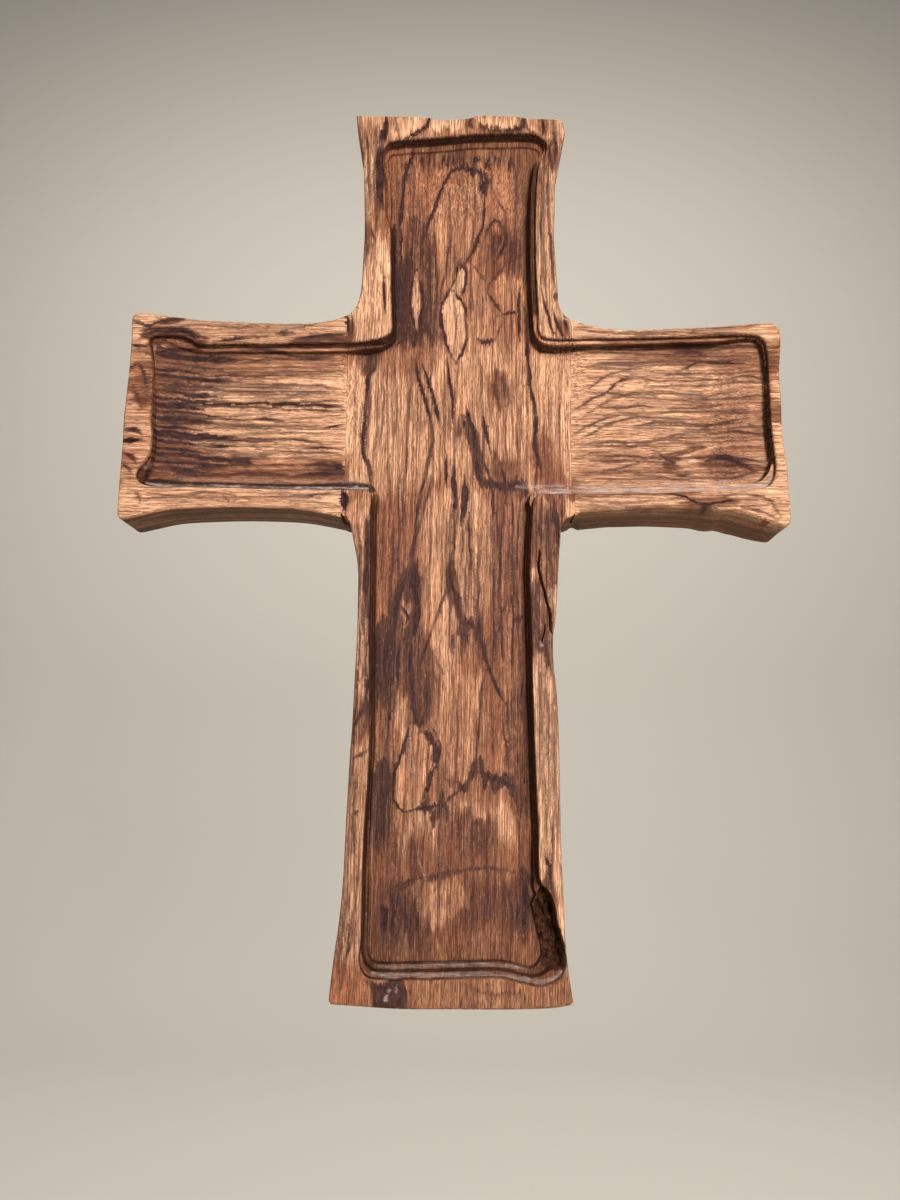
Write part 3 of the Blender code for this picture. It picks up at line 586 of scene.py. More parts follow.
# right arm
vein("f", .26, .65, (40, 115.5), (43, 117), (46, 119), (49, 120.6), (52, 122), (55, 125), (58.4, 126), (62, 126.2), (68, 125.2))
vein("f", .24, .55, (40, 107), (44.5, 109.6), (49, 112), (56, 113.6))
vein("f", .24, .55, (40, 103), (52, 104), (61, 104), (70, 105), (80, 104.2))
vein("f", .24, .5, (45, 97.5), (54, 97.3), (62, 98.6))
vein("f", .3, .75, (76, 129.4), (79.6, 131), (83, 132.2), (90, 131.8), (98, 131))
vein("f", .8, .6, (72.6, 134.6), (78, 135.6), (85.6, 134.8))
vein("f", .3, .6, (70, 137), (78, 137.4), (88, 136.8))
vein("f", .6, .9, (84, 97.5), (88, 98.8), (92, 98), (96, 95.6), (99.4, 93.8))
vein("f", .3, .75, (92, 98.5), (98, 97.2), (103, 96.5))
vein("f", .3, .6, (88, 94.6), (91, 93.2), (95, 93.4))
vein("f", .2, .5, (43, 121), (50, 126.4), (58, 129.4), (70, 130.8), (84, 131))
vein("f", .2, .5, (42, 112), (50, 117.6), (58, 120.8), (70, 121.4), (86, 119.2), (104, 119.6))
vein("f", .22, .55, (42, 105), (49, 109), (57, 112.2), (68, 113), (80, 112.2))
vein("f", .2, .5, (42, 99), (52, 101), (60, 102.6), (68, 105), (78, 107.6), (88, 108))
vein("f", .2, .5, (44, 92), (54, 94.6), (62, 97.4), (70, 101.6))
vein("f", .26, .6, (86, 91.6), (92, 91.2), (99, 92.8))
vein("f", .24, .55, (88, 96.4), (91.6, 95.6), (95, 96.4))
vein("f", .3, .6, (65.6, 102), (69, 99.6), (72.6, 97.2), (76, 95))
vein("f", .4, .65, (73.6, 93), (76, 92.6), (79, 93.2))
vein("f", .26, .5, (44, 130), (52, 131.4), (60, 131), (68, 132))
vein("f", .22, .45, (62, 120), (72, 121.4), (84, 120.4), (96, 121.6))
vein("f", .26, .55, (60, 110), (72, 111.4), (84, 110.4), (98, 112))
vein("f", .3, .6, (84, 107), (92, 107.6), (103, 106.4))
vein("f", .3, .55, (88, 114.6), (96, 114), (103.6, 115))
vein("f", .24, .5, (70, 116), (80, 116.4), (92, 117.4))
vein("f", .24, .5, (60, 92.6), (68, 92), (80, 90.6))
vein("f", .22, .45, (44, 92.6), (54, 93.4), (62, 94))
vein("f", .3, .6, (92, 126), (98, 126.6), (104, 125.4))
vein("f", .26, .5, (86, 102), (94, 102.2), (103.6, 101))
vein("r", .22, .45, (42, 144.6), (54, 143.2), (68, 143.6), (84, 144.8), (100, 145.8))
vein("r", .24, .5, (74, 145.4), (90, 145.8), (104, 147))
vein("r", .22, .45, (42, 83.4), (56, 83), (68, 83.9), (80, 85))
vein("r", .2, .4, (42, 81.4), (56, 81.6), (70, 82.4))
vein("r", .26, .5, (90, 86.2), (98, 86.4), (105, 84.4), (109, 79))
vein("r", .3, .55, (94, 82), (102, 80.6), (108, 78))

# stained and pale places: level, (light, purple, red, orange, scorch, dust), strength, softness, outline
P_ = []


def patch(level, target, amount, soft, *pts):
    P_.append((level, target, amount, soft, pts))


def oval(level, target, amount, soft, x, z, rx, rz, lean=0.0):
    c, s = math.cos(math.radians(lean)), math.sin(math.radians(lean))
    pts = []
    for k in range(14):
        a = 2 * math.pi * k / 14
        u, v = rx * math.cos(a), rz * math.sin(a)
        pts.append((x + u * c + v * s, z - u * s + v * c))
    P_.append((level, target, amount, soft, tuple(pts)))


LIGHT, PURPLE, RED, ORANGE, SCORCH, DUST = ((1, 0, 0, 0, 0, 0), (0, 1, 0, 0, 0, 0), (0, 0, 1, 0, 0, 0),
                                            (0, 0, 0, 1, 0, 0), (0, 0, 0, 0, 1, 0), (0, 0, 0, 0, 0, 1))


def blend(*parts):
    out = [0.0] * 6
    for w, t in parts:
        out = [o + w * v for o, v in zip(out, t)]
    return tuple(out)


# floor of the upper limb
patch("f", blend((.32, RED), (.55, ORANGE)), .85, 5, (-26, 214), (26, 214), (26, 130), (-26, 130))
patch("f", blend((.3, LIGHT), (.1, PURPLE), (.2, ORANGE)), .8, 2.4, (-11, 182), (-6, 192), (-1, 200), (6, 199), (8, 190), (6, 180), (2, 170), (-1, 164), (-5, 158), (-8, 168))
# dark band at the foot of the head's top wall: scorch and painted shade
oval("f", blend((.9, SCORCH)), .75, 3.2, 0, 212, 26, 3.6)
oval("f", blend((.6, SCORCH), (.3, PURPLE)), .55, 3.0, -4, 206.5, 12, 3.4)
patch("f", blend((.6, SCORCH), (.3, RED)), .7, 2.5, (19, 212), (25, 212), (25, 162), (20.4, 163), (17, 172), (19, 190))
patch("f", blend((.6, PURPLE), (.3, RED)), .8, 2.2, (-17.5, 184), (-12.5, 184), (-9.6, 176), (-7.6, 165), (-7, 155), (-7.4, 145), (-7, 135), (-14, 133.5), (-22, 137), (-21.6, 150), (-19, 168))
patch("f", blend((1.0, PURPLE), (.85, SCORCH)), 1.0, 1.6, (-20.4, 169), (-17.6, 171), (-16.8, 165), (-16.8, 154), (-15.4, 144), (-13.4, 140), (-17.6, 136), (-21.6, 138), (-22.2, 150), (-21.6, 162))
patch("f", blend((1.0, PURPLE), (.7, SCORCH)), .9, 1.6, (-12.6, 150), (-10.6, 146), (-8.4, 139), (-9.4, 134.5), (-14, 135), (-16, 140), (-13.6, 144))
oval("f", blend((.55, LIGHT)), 1.0, .7, -14.6, 154.6, 1.7, 11.2)
patch("f", blend((.95, LIGHT)), 1.0, .5, (-0.4, 168), (-1.2, 163), (-3.6, 157), (-5.6, 154), (-6, 149), (-5.8, 144.5), (-4.6, 141), (-3, 136), (-0.6, 132.6), (1.6, 136), (2.8, 140), (2.8, 146), (2.3, 152), (0.5, 155.3), (2.2, 160), (1.8, 166))
patch("f", blend((.32, PURPLE), (.38, LIGHT)), .85, 1.6, (3, 162), (9, 163), (10.4, 158), (14.6, 150), (14, 142), (8, 140.6), (3.6, 142), (3, 150))
patch("f", blend((.8, PURPLE)), .8, .9, (6.6, 142), (13, 142), (12.6, 139), (9, 138.2), (6.8, 139.4))
patch("f", blend((.3, LIGHT), (.75, ORANGE)), .95, 1.2, (12, 161), (16, 163), (21, 163), (21.4, 151.6), (16, 150.8), (12.6, 156))
patch("f", blend((.7, RED), (.3, PURPLE)), .75, 2.0, (10, 181), (17.5, 181), (17.5, 170), (13.6, 164), (10.6, 163), (7, 170))
oval("f", blend((.8, PURPLE)), .7, 1.4, 13, 177.5, 2.4, 3.0)
oval("f", blend((.7, PURPLE)), .6, 1.2, 10.8, 174.2, 1.4, 2.2)
patch("f", blend((.3, LIGHT), (.5, ORANGE)), .6, 2.5, (4, 150), (20, 149), (22, 132), (8, 130), (3.4, 138))
oval("f", blend((.45, RED), (.25, SCORCH)), .6, 2.0, -22.4, 198, 2.6, 14)
# floor of the crossing
patch("f", blend((.54, LIGHT), (.25, ORANGE)), .85, 7, (-36, 132), (36, 132), (38, 90), (22, 80), (-24, 80), (-36, 90))
patch("f", blend((.85, LIGHT)), .8, 1.6, (-38.2, 133), (-31.6, 131), (-31.4, 118), (-32.4, 103), (-30.4, 94), (-31.6, 86.6), (-38.2, 87))
patch("f", blend((.9, RED), (.18, PURPLE)), .85, 2.2, (28, 106), (39, 106), (39, 88), (27.4, 88))
patch("f", blend((.7, LIGHT)), .6, 2.2, (30, 138), (39.4, 138), (39.4, 108), (31, 108))
patch("f", blend((.85, PURPLE), (.3, SCORCH)), .9, 1.0, (1.4, 112.6), (4.4, 112.6), (7, 107), (8, 100), (8.6, 92), (8.8, 87), (6.4, 88), (5.6, 96), (4.2, 103), (2.2, 108))
patch("f", blend((1.0, PURPLE), (.6, SCORCH)), .95, 1.0, (7.6, 90.6), (14, 89.8), (22, 91), (24.6, 88.4), (22, 85), (8.4, 84.6))
patch("f", blend((.6, PURPLE), (.25, RED)), .6, 2.6, (9, 97), (21, 97), (23, 85), (8.6, 84))
oval("f", blend((.5, PURPLE)), .6, 1.3, 1.4, 109, 1.6, 3.4)
oval("f", blend((.5, PURPLE), (.2, RED)), .6, 2.0, 14, 122, 3.4, 7, -10)
oval("f", blend((.6, LIGHT)), .7, 3, -23, 112, 5.5, 16)
patch("f", blend((.5, RED), (.25, PURPLE)), .6, 2.5, (-27, 137), (-8, 137), (-10, 128), (-26, 129))
# floor of the lower limb
patch("f", blend((.42, RED), (.2, ORANGE), (.18, LIGHT)), .85, 5, (-26, 82), (25, 82), (25, -66), (-26, -66))
patch("f", blend((.5, LIGHT), (.3, ORANGE)), .8, 3.4, (-9, 84), (9, 84), (9, 44), (2, 42), (-6, 34), (-8, 44), (-10, 62))
patch("f", blend((.7, RED), (.35, ORANGE)), .8, 2.0, (-26, 84), (-16, 78), (-17, 60), (-21, 48), (-26, 44))
patch("f", blend((.62, LIGHT), (.2, ORANGE)), .8, 1.4, (-3.4, 50), (-1, 46), (1.6, 41), (1.2, 30), (0, 22), (-3, 22), (-6.6, 31), (-5.4, 40))
patch("f", blend((.5, PURPLE), (.45, SCORCH), (.5, RED)), .9, 2.2, (-17, 57), (-15, 60.5), (-12, 59), (-11.8, 50), (-11.6, 42), (-8.4, 36), (-7.6, 28), (-6.8, 20), (-7.6, 11), (-13, 8), (-17, 13), (-25.6, 15), (-25.4, 25), (-24, 34), (-21.8, 42), (-20.2, 50))
patch("f", blend((.8, PURPLE), (.5, SCORCH)), .75, 1.4, (-24.4, 42), (-20.4, 40), (-19.6, 26), (-21, 18), (-24.4, 18))
patch("f", blend((.6, PURPLE), (.2, SCORCH)), .7, 1.2, (-15.4, 41), (-12.6, 40), (-11.6, 34), (-12.6, 27), (-15.6, 30))
patch("f", blend((.45, LIGHT), (.25, PURPLE)), .85, .8, (-17.6, 50.6), (-15, 50), (-13.6, 46), (-14.4, 42), (-17.8, 43), (-18.6, 45.4))
patch("f", blend((.75, PURPLE), (.15, SCORCH)), .8, 1.0, (-16.8, 58), (-14.6, 60), (-12, 60), (-11.8, 48), (-12.6, 46), (-14.4, 51.4), (-18.4, 51), (-19.4, 46))
patch("f", blend((.5, RED), (.2, PURPLE)), .6, 3.0, (10, 40), (22, 60), (24, 20), (16, 8), (9, 22))
patch("f", blend((.5, LIGHT), (.3, ORANGE)), .7, 1.8, (-17.6, 19), (-15.2, 18), (-13.8, 12), (-14.8, 6), (-17.4, 4), (-18.6, 10))
patch("f", blend((.3, LIGHT), (.95, ORANGE)), .95, .7, (-13.6, 8), (-15.4, 3), (-17, -2), (-18.8, -9), (-18.2, -15), (-15, -18.8), (-10.4, -17.6), (-8, -12), (-7, -8), (-5.6, -4), (-6.6, 1), (-9, 6))
patch("f", blend((.85, PURPLE), (.3, RED)), .85, 1.8, (-26, -6), (-20.4, -6), (-19.8, -18), (-20.4, -34), (-26, -36))
patch("f", blend((.6, PURPLE)), .6, 1.6, (19.6, 22), (23.6, 22), (23.6, -22), (20, -22))
patch("f", blend((.35, LIGHT), (.3, ORANGE)), .7, 2.4, (-3, 22), (8, 24), (8, -4), (1, -12), (-3, -6))
patch("f", blend((.6, LIGHT), (.2, ORANGE)), .7, 3.0, (-14, -20), (18, -18), (18, -34), (-14, -36))
patch("f", blend((.5, RED), (.3, SCORCH)), .7, 2.6, (-26, -42), (25, -40), (25, -66), (-26, -66))
patch("f", blend((.5, RED), (.3, SCORCH)), .85, 6.0, (-26, -34), (25, -34), (25, -66), (-26, -66))
patch("f", blend((.75, SCORCH), (.8, RED)), .9, 4.0, (-26, -42), (25, -44), (25, -52), (4, -54), (-13, -60), (-16, -46))
patch("f", blend((.85, SCORCH), (.2, RED)), .85, 1.8, (-24, -44), (-16.6, -45), (-15.6, -64), (-24, -65))
patch("f", blend((.4, LIGHT), (.35, ORANGE)), .75, 2.2, (-12, -41.5), (-4, -40), (3, -40), (4.6, -47), (1, -51), (-2, -54.6), (-6, -56), (-9, -51))
oval("f", blend((.45, LIGHT), (.4, ORANGE)), .7, 1.1, -9.6, -48, 1.2, 6)
oval("f", blend((.45, LIGHT), (.4, ORANGE)), .7, 1.1, -5.6, -51, 1.4, 7)
oval("f", blend((.45, LIGHT), (.4, ORANGE)), .7, 1.1, -1.4, -47, 1.2, 5)
patch("f", blend((.6, PURPLE), (.5, SCORCH)), .9, .9, (-2.0, 61), (-1.4, 61.5), (0.0, 56), (1.6, 49), (3.6, 44.4), (8.4, 41), (9, 37.6), (4.6, 38.6), (2.6, 33.6), (1, 35), (1.4, 41), (-.4, 45), (-2.2, 51), (-3.2, 57))
patch("f", blend((.6, PURPLE), (.4, SCORCH)), .85, .8, (7.6, 39), (9, 37), (11, 31), (10.8, 28), (9.2, 29), (8.6, 34))
patch("f", blend((.72, PURPLE), (.4, SCORCH)), .9, .9, (-17.6, 57), (-16, 59), (-13.6, 63), (-11.8, 61), (-11.6, 50), (-12.6, 38), (-14.6, 34), (-15, 41), (-13.6, 47), (-14.6, 52), (-17.6, 48.6), (-18.4, 41), (-20.6, 41), (-20.4, 49))
patch("f", blend((.5, RED), (.35, SCORCH)), .7, 1.4, (-2, -20), (6, -18.4), (13, -20), (13.6, -27), (8, -31.6), (0, -30), (-4, -26))
patch("f", blend((.4, PURPLE), (.4, SCORCH)), .7, 1.0, (3, -21.6), (9, -22), (11, -26), (7, -29), (3, -26.6))
patch("f", blend((.95, PURPLE), (.45, SCORCH)), .95, .8, (1.4, -11.6), (4.6, -8), (7.6, -4.4), (12, -6), (16, -7.4), (20.4, -9), (20.4, -12.4), (14, -10.6), (8, -8), (4.6, -11.4))
patch("f", blend((.7, PURPLE), (.2, SCORCH)), .85, .9, (-9.6, -17), (-4, -15.8), (-1, -17.2), (-2, -20), (-9.4, -19.4))
oval("f", blend((.45, PURPLE), (.45, RED)), .75, 1.6, 6.6, -24, 6.4, 6)
patch("f", blend((.9, SCORCH), (.6, PURPLE)), .85, 1.2, (20.8, -37), (25, -39), (25, -56), (22, -55))
patch("f", blend((.3, PURPLE)), .5, 1.5, (20.6, -42), (25, -42), (25, -60), (21, -60))
oval("f", blend((.8, SCORCH)), .7, 1.6, 0, -63, 25, 1.8)
# rims of the upright
patch("r", blend((.72, LIGHT), (.12, ORANGE)), .9, 3, (-40, 228), (40, 228), (40, 140), (24, 140), (26, 216), (-26, 216), (-24, 136), (-40, 136))
patch("r", blend((.36, LIGHT), (.4, RED)), .8, 3, (-26, 229), (30, 229), (30, 219), (-26, 216))
patch("r", blend((.38, PURPLE), (.3, RED)), .8, 1.2, (-33.8, 181), (-31.6, 187), (-28.4, 193), (-28.2, 184), (-30.6, 173), (-33.4, 165))
patch("r", blend((.4, SCORCH)), .6, 1.6, (-36, 222), (-31, 222), (-31, 213), (-35, 212))
patch("r", blend((.5, PURPLE), (.2, RED)), .8, 1.2, (30.2, 214), (33.8, 215), (33.6, 203), (31.2, 203))
patch("r", blend((.45, PURPLE), (.2, RED)), .8, .8, (2.2, 226.6), (5.4, 226), (4.4, 220.4), (1.6, 220))
patch("r", blend((.5, PURPLE)), .8, 1.0, (28.4, 226), (30.8, 226), (31, 219), (29, 219))
patch("r", blend((1.0, LIGHT)), .8, 1.6, (-22, 226), (-13, 226), (-16, 219.6), (-24, 218))
patch("r", blend((1.0, LIGHT)), .9, 1.4, (6, 224.6), (24, 224.8), (26, 221.6), (8, 221.4))
patch("r", blend((1.0, LIGHT)), .8, 1.4, (-10, 225.4), (0, 225), (-1, 221), (-10, 220.6))
patch("r", blend((.9, LIGHT), (.1, ORANGE)), .8, 1.4, (-30, 176), (-26.4, 176), (-26.8, 150), (-33, 150), (-33, 168))
oval("r", blend((.55, PURPLE)), .65, 1.2, 36.4, 144.6, 2.6, 3.2, 25)
patch("r", blend((.28, RED), (.55, LIGHT)), .8, 2.4, (-34, 82), (-26.4, 82), (-26.4, -60), (-34, -60))
patch("r", blend((.8, LIGHT), (.3, ORANGE)), .85, 1.2, (-31.6, 78), (-29.6, 78), (-29, 66), (-29.2, 57), (-30.4, 57), (-31.2, 66))
patch("r", blend((.75, LIGHT), (.5, ORANGE)), .85, 1.3, (-31.8, 44), (-28.8, 43), (-28.6, 32), (-30, 27), (-31.8, 30))
patch("r", blend((.7, PURPLE), (.2, SCORCH)), .8, .8, (-29, 78), (-27, 78), (-26.6, 44), (-28.4, 44))
patch("r", blend((.6, PURPLE), (.3, RED)), .75, 1.3, (-28, 17), (-31, 14), (-33, 6), (-32, 0), (-28, 6))
patch("r", blend((.5, LIGHT), (.3, ORANGE)), .7, 2.5, (-33, -20), (-28.4, -20), (-29, -66), (-37, -74), (-35, -50))
patch("r", blend((1.0, ORANGE), (.2, RED)), .85, 1.0, (-37.6, -68), (-34, -70), (-32.6, -78), (-38, -78))
patch("r", blend((.85, LIGHT), (.1, ORANGE)), .9, 2.4, (24.6, 82), (38, 82), (38, -70), (26, -40))
patch("r", blend((.62, PURPLE)), .8, 1.4, (25.4, 56), (28, 58), (31, 50), (32, 38), (31.6, 28), (29.4, 30), (25.6, 33))
patch("r", blend((.55, PURPLE)), .7, 1.1, (31.6, 86), (36.4, 82), (35.4, 70), (33.6, 64), (32.4, 72))
patch("r", blend((.6, PURPLE), (.2, RED)), .6, 1.2, (24.8, 84), (28.2, 84), (28, 66), (25, 62))
patch("r", blend((.55, SCORCH), (.35, RED)), .8, 1.4, (26.5, -38), (31.6, -40), (33.6, -48), (30, -50), (26.5, -46))
patch("r", blend((.26, LIGHT), (.34, PURPLE), (.1, SCORCH)), .85, 1.8, (-13, -70), (26, -71), (38, -66), (39, -79), (-13, -79))
patch("r", blend((1.0, SCORCH), (1.0, PURPLE)), 1.0, .9, (-25.6, -69.6), (-15, -69.8), (-13.6, -74), (-14.6, -79), (-23, -79), (-24, -74))
patch("r", blend((.5, RED), (.3, ORANGE)), .8, 1.2, (-38, -66), (-26, -66), (-24, -72), (-25, -79), (-38, -79))
# left arm
patch("f", blend((.45, LIGHT), (.8, ORANGE)), .85, 4, (-105, 135), (-38, 135), (-38, 87), (-105, 87))
patch("f", blend((.84, LIGHT), (.35, ORANGE)), .9, 4.5, (-84, 126), (-38, 127), (-38, 98), (-60, 96), (-88, 100))
patch("f", blend((.4, RED), (.2, ORANGE)), .6, 3, (-104, 135), (-38, 135), (-38, 129), (-104, 126))
patch("f", blend((.55, RED), (.25, PURPLE)), .75, 2.5, (-104, 97), (-60, 96), (-38, 97), (-38, 87), (-104, 87))
patch("f", blend((.5, SCORCH), (.3, RED)), .75, 7, (-107, 135), (-88, 135), (-92, 110), (-86, 88), (-107, 88))
oval("f", blend((.7, PURPLE)), .7, 1.2, -72, 95.4, 4.6, 1.7)
oval("f", blend((.7, PURPLE)), .7, 1.2, -83, 93.4, 5.4, 1.2)
oval("f", blend((.7, PURPLE), (.3, SCORCH)), .8, 1.0, -39.6, 93.6, 1.8, 2.0)
oval("f", blend((.6, LIGHT), (.1, PURPLE)), .6, 1.6, -46, 98.6, 8, 1.6)
patch("r", blend((.72, LIGHT), (.15, ORANGE)), .9, 2.5, (-114, 150), (-38, 150), (-38, 138), (-114, 138))
patch("r", blend((.6, PURPLE), (.3, RED)), .8, .7, (-104.6, 145), (-100, 146.6), (-94, 147.6), (-97, 145.2), (-101, 144.6))
patch("r", blend((.6, LIGHT), (.25, RED)), .8, 2.0, (-114, 138), (-104, 138), (-103, 96), (-108, 88), (-114, 88))
patch("r", blend((.55, RED), (.35, PURPLE)), .75, 1.6, (-112, 129), (-107, 131), (-105.6, 116), (-108, 113), (-110.6, 120))
patch("r", blend((.75, ORANGE), (.3, RED)), .8, 1.4, (-114, 98), (-108, 98), (-109, 93), (-114, 92))
patch("r", blend((.72, LIGHT), (.45, ORANGE)), .9, 2.0, (-114, 88), (-102, 86.4), (-38, 86.4), (-38, 77), (-114, 75))
patch("r", blend((1.0, SCORCH), (.3, RED)), .95, 1.3, (-107, 139), (-107, 142.4), (-99, 143.4), (-92, 142.6), (-88.6, 139.4), (-90, 137))
patch("r", blend((.75, SCORCH), (.3, RED)), .8, 1.0, (-58, 137.6), (-54, 140.4), (-46, 141.6), (-37, 142.2), (-36, 138))
patch("r", blend((.7, SCORCH), (.3, RED)), .7, 1.2, (-104.4, 113), (-105.8, 118), (-106, 132), (-108, 138), (-103, 138), (-102, 113))
patch("r", blend((1.0, LIGHT), (.25, ORANGE)), .85, 1.2, (-62, 85.6), (-38.8, 85), (-38.8, 78.4), (-50, 80.6))
# a near-black band along the lower edge of the left arm's tray
patch("f", blend((1.0, SCORCH), (.8, PURPLE)), .95, .7, (-103, 83.6), (-103, 87), (-80, 87.2), (-60, 87), (-28, 87.4), (-28, 83.6))
patch("f", blend((.6, SCORCH), (.7, PURPLE)), .8, 1.2, (-46, 95.0), (-38.4, 95.0), (-38.4, 92.2), (-46, 92.4))
# right arm
patch("f", blend((.74, LIGHT), (.3, ORANGE)), .9, 4, (40, 139), (104, 140), (105, 90), (40, 88))
patch("f", blend((.4, RED), (.2, PURPLE)), .6, 3, (50, 139), (104, 140), (104, 131), (60, 133.5))
patch("f", blend((.75, SCORCH), (.3, PURPLE)), .75, 1.0, (69.6, 95), (72, 99.4), (78, 104), (81, 102.6), (77, 98.4), (74, 94.6))
patch("f", blend((.75, SCORCH), (.4, PURPLE)), .8, 1.0, (84, 98.6), (90, 99.8), (96, 98), (101, 94.6), (98, 93), (92, 95), (87, 95.6))
patch("f", blend((.5, ORANGE), (.3, LIGHT)), .6, 1.2, (80, 93), (81.6, 99.6), (84.4, 99.6), (85, 95), (83.6, 91.4))
patch("f", blend((.4, PURPLE), (.2, RED)), .6, 1.3, (71, 134), (78, 137.4), (87, 136.6), (85, 133.4), (76, 132.8))
patch("f", blend((.6, RED), (.15, ORANGE)), .45, 6, (82, 116), (104, 116), (105, 100), (86, 103))
patch("f", blend((.6, RED), (.25, PURPLE)), .5, 3, (83, 99), (98, 99.6), (99, 91.6), (86, 91))
patch("f", blend((.45, RED)), .35, 5, (40, 96), (74, 100), (76, 90), (40, 88))
patch("f", blend((.45, RED), (.1, PURPLE)), .35, 5, (92, 132), (105, 134), (105, 118), (96, 120))
patch("r", blend((.8, LIGHT), (.15, ORANGE)), .9, 2.5, (40, 149), (113, 150), (113, 88), (106, 90), (106, 141), (40, 141))
patch("r", blend((.85, LIGHT), (.1, ORANGE)), .9, 2.0, (40, 87), (104, 89), (113, 92), (113, 74), (40, 76))
oval("r", blend((.5, RED), (.3, SCORCH)), .8, 1.6, 84, 83.4, 9, 2.0)
patch("r", blend((.55, SCORCH), (.4, RED)), .75, .9, (28, 86.4), (60, 87.4), (84, 88.6), (84, 87), (60, 85.8), (28, 84.4))
patch("r", blend((.9, SCORCH), (.3, RED)), .9, .8, (7, 221.4), (26, 221.6), (27, 220.2), (6, 219.8))
patch("r", blend((1.0, SCORCH), (.4, PURPLE)), .9, .8, (21, 224.6), (23.4, 224), (23.2, 221.6), (21, 222))
patch("r", blend((.7, RED), (.2, PURPLE)), .8, 2.0, (107, 141), (112, 141), (112, 130), (107, 129))
patch("r", blend((.6, RED), (.3, SCORCH)), .8, 1.4, (107.4, 118), (112, 117), (112, 112), (107.4, 113))
patch("r", blend((.42, PURPLE), (.5, RED)), .7, 2.0, (27, 80), (36, 80), (35.5, 66), (33.5, 56), (28.5, 56), (27, 66))
patch("f", blend((.7, PURPLE), (.3, SCORCH)), .75, 1.6, (-31.4, 138), (-27, 138), (-28.4, 129), (-32.4, 125))
patch("f", blend((.4, PURPLE), (.4, RED)), .6, 2.2, (-38, 138), (-31, 138), (-32, 130), (-38, 131))

# dust lying on the lower ledges and on the rim, and painted highlight strokes on the top edge of the head, as lines:
# level depth, half-width, strength, points
DUST_AND_HIGHLIGHT_LINES = [
    (D1, .3, 1.0, ((-104, 87.6), (-100, 87), (-90, 86.6), (-76, 86.8), (-60, 86.5), (-40, 86.7), (-30, 86.7))),
    (FLOOR, .22, .45, ((-104, 89.4), (-99, 88.4), (-90, 88.5), (-80, 88.9), (-68, 89.1), (-52, 88.9), (-38, 88.8), (-30, 88.4))),
    (D1, .8, .95, ((28, 86.3), (40, 86.6), (54, 87), (68, 87.4), (84, 88.2), (98, 88.9), (103.6, 89.8), (106, 92))),
    (FLOOR, .4, .7, ((20, 88), (30, 88.2), (44, 88.3), (60, 88.8), (76, 89.6), (94, 90.6), (102, 91.4))),
    (D1, .7, .5, ((-24, -67.6), (-14, -68.1), (0, -67.9), (14, -67.6), (24, -68.9), (30, -69.3), (34, -66.5), (35, -62))),
    (D2, .5, .42, ((-22, -65.4), (-12, -65.4), (0, -64.7), (14, -64.6), (24, -65.2))),
    (D1, .3, .6, ((-104.6, 92.6), (-102.6, 95), (-100, 95.6))),
    (0, .2, .7, ((-110.4, 110.2), (-107.4, 107.8), (-104, 106.2))),
    (0, .3, 1.0, ((-18.5, -72), (-19.2, -73.8), (-19.5, -75.5))),
    (0, .25, .8, ((-16.5, -71.6), (-16.3, -73))),
    (0, .4, .9, ((28.1, 35.4), (28.6, 34.4))),
    # pale strokes on the top edge of the head: fuzzy end grain with a painted highlight
    (0, .3, .8, ((16.6, 226.4), (19.4, 226.7))),
    (0, .3, .7, ((26, 226), (28.6, 226))),
    (0, .2, .6, ((34.6, 150.2), (37, 148.6), (40, 147.8))),
    (FLOOR, .10, .5, ((-14, 8), (-13.3, 0), (-12.7, -9))),
    (FLOOR, .10, .5, ((-11, -31), (-9.6, -35), (-8, -40))),
    (FLOOR, .08, .35, ((18, 113.2), (26, 113), (33, 112.8))),
    (FLOOR, .08, .35, ((36, 111), (38, 117), (41, 122))),
]


def thin_lines(level, start, stop, pitch, lo, hi, upright, strength, seed):
    """A set of thin, uneven growth lines that run with the grain."""
    k, at = 0, start
    while at < stop:
        r = [0.5 + 0.5 * math.sin((seed + k * 7.13) * c) for c in (12.9, 78.2, 37.7, 9.4, 51.1)]
        span = (hi - lo) * (0.35 + 0.65 * r[0])
        a = lo + (hi - lo - span) * r[1]
        pts = []
        for j in range(5):
            h = a + span * j / 4
            g = at + 0.7 * math.sin(h * 0.06 + seed + k) + 0.25 * math.sin(h * 0.31 + k * 2.0)
            pts.append((g, h) if upright else (h, g))
        vein(level, 0.10 + 0.13 * r[2], strength * (0.45 + 0.75 * r[3]), *pts)
        at += pitch * (0.55 + 0.9 * r[4])
        k += 1


thin_lines("f", -19, 20, 1.15, 203, 208.6, True, .85, 31)
thin_lines("f", -1.5, 22.5, 1.15, 24, 86, True, .62, 1)
thin_lines("f", -24, -14, 1.5, 50, 92, True, .5, 2)
thin_lines("f", -9, 8, 1.7, 44, 84, True, .42, 3)
thin_lines("f", -34, 36, 2.1, 84, 134, True, .42, 4)
thin_lines("f", -22, 22, 2.0, 132, 206, True, .42, 5)
thin_lines("f", -24, 23, 1.9, -60, 26, True, .42, 6)
thin_lines("f", -21, -8, 1.0, -60, -43, True, .95, 7)
thin_lines("f", 91, 133, 1.5, -102, -39, False, .5, 8)
thin_lines("f", 91, 137, 1.5, 41, 104, False, .5, 9)
thin_lines("r", -36, -29, 1.2, 150, 226, True, .45, 10)
thin_lines("r", 29, 36, 1.4, 150, 226, True, .45, 11)
thin_lines("r", -36, -28, 1.2, -72, 76, True, .5, 12)
thin_lines("r", 26.5, 35, 1.4, -66, 76, True, .42, 13)
thin_lines("r", 139.5, 147, 1.3, -110, -40, False, .4, 14)
thin_lines("r", 142, 147, 1.2, 42, 108, False, .4, 15)
thin_lines("r", 79, 86, 1.4, -110, -40, False, .38, 16)
thin_lines("r", 81, 87, 1.4, 42, 108, False, .38, 17)


def place(level, pts):
    return on_rim(pts) if level == "r" else at_depth(pts, FLOOR)


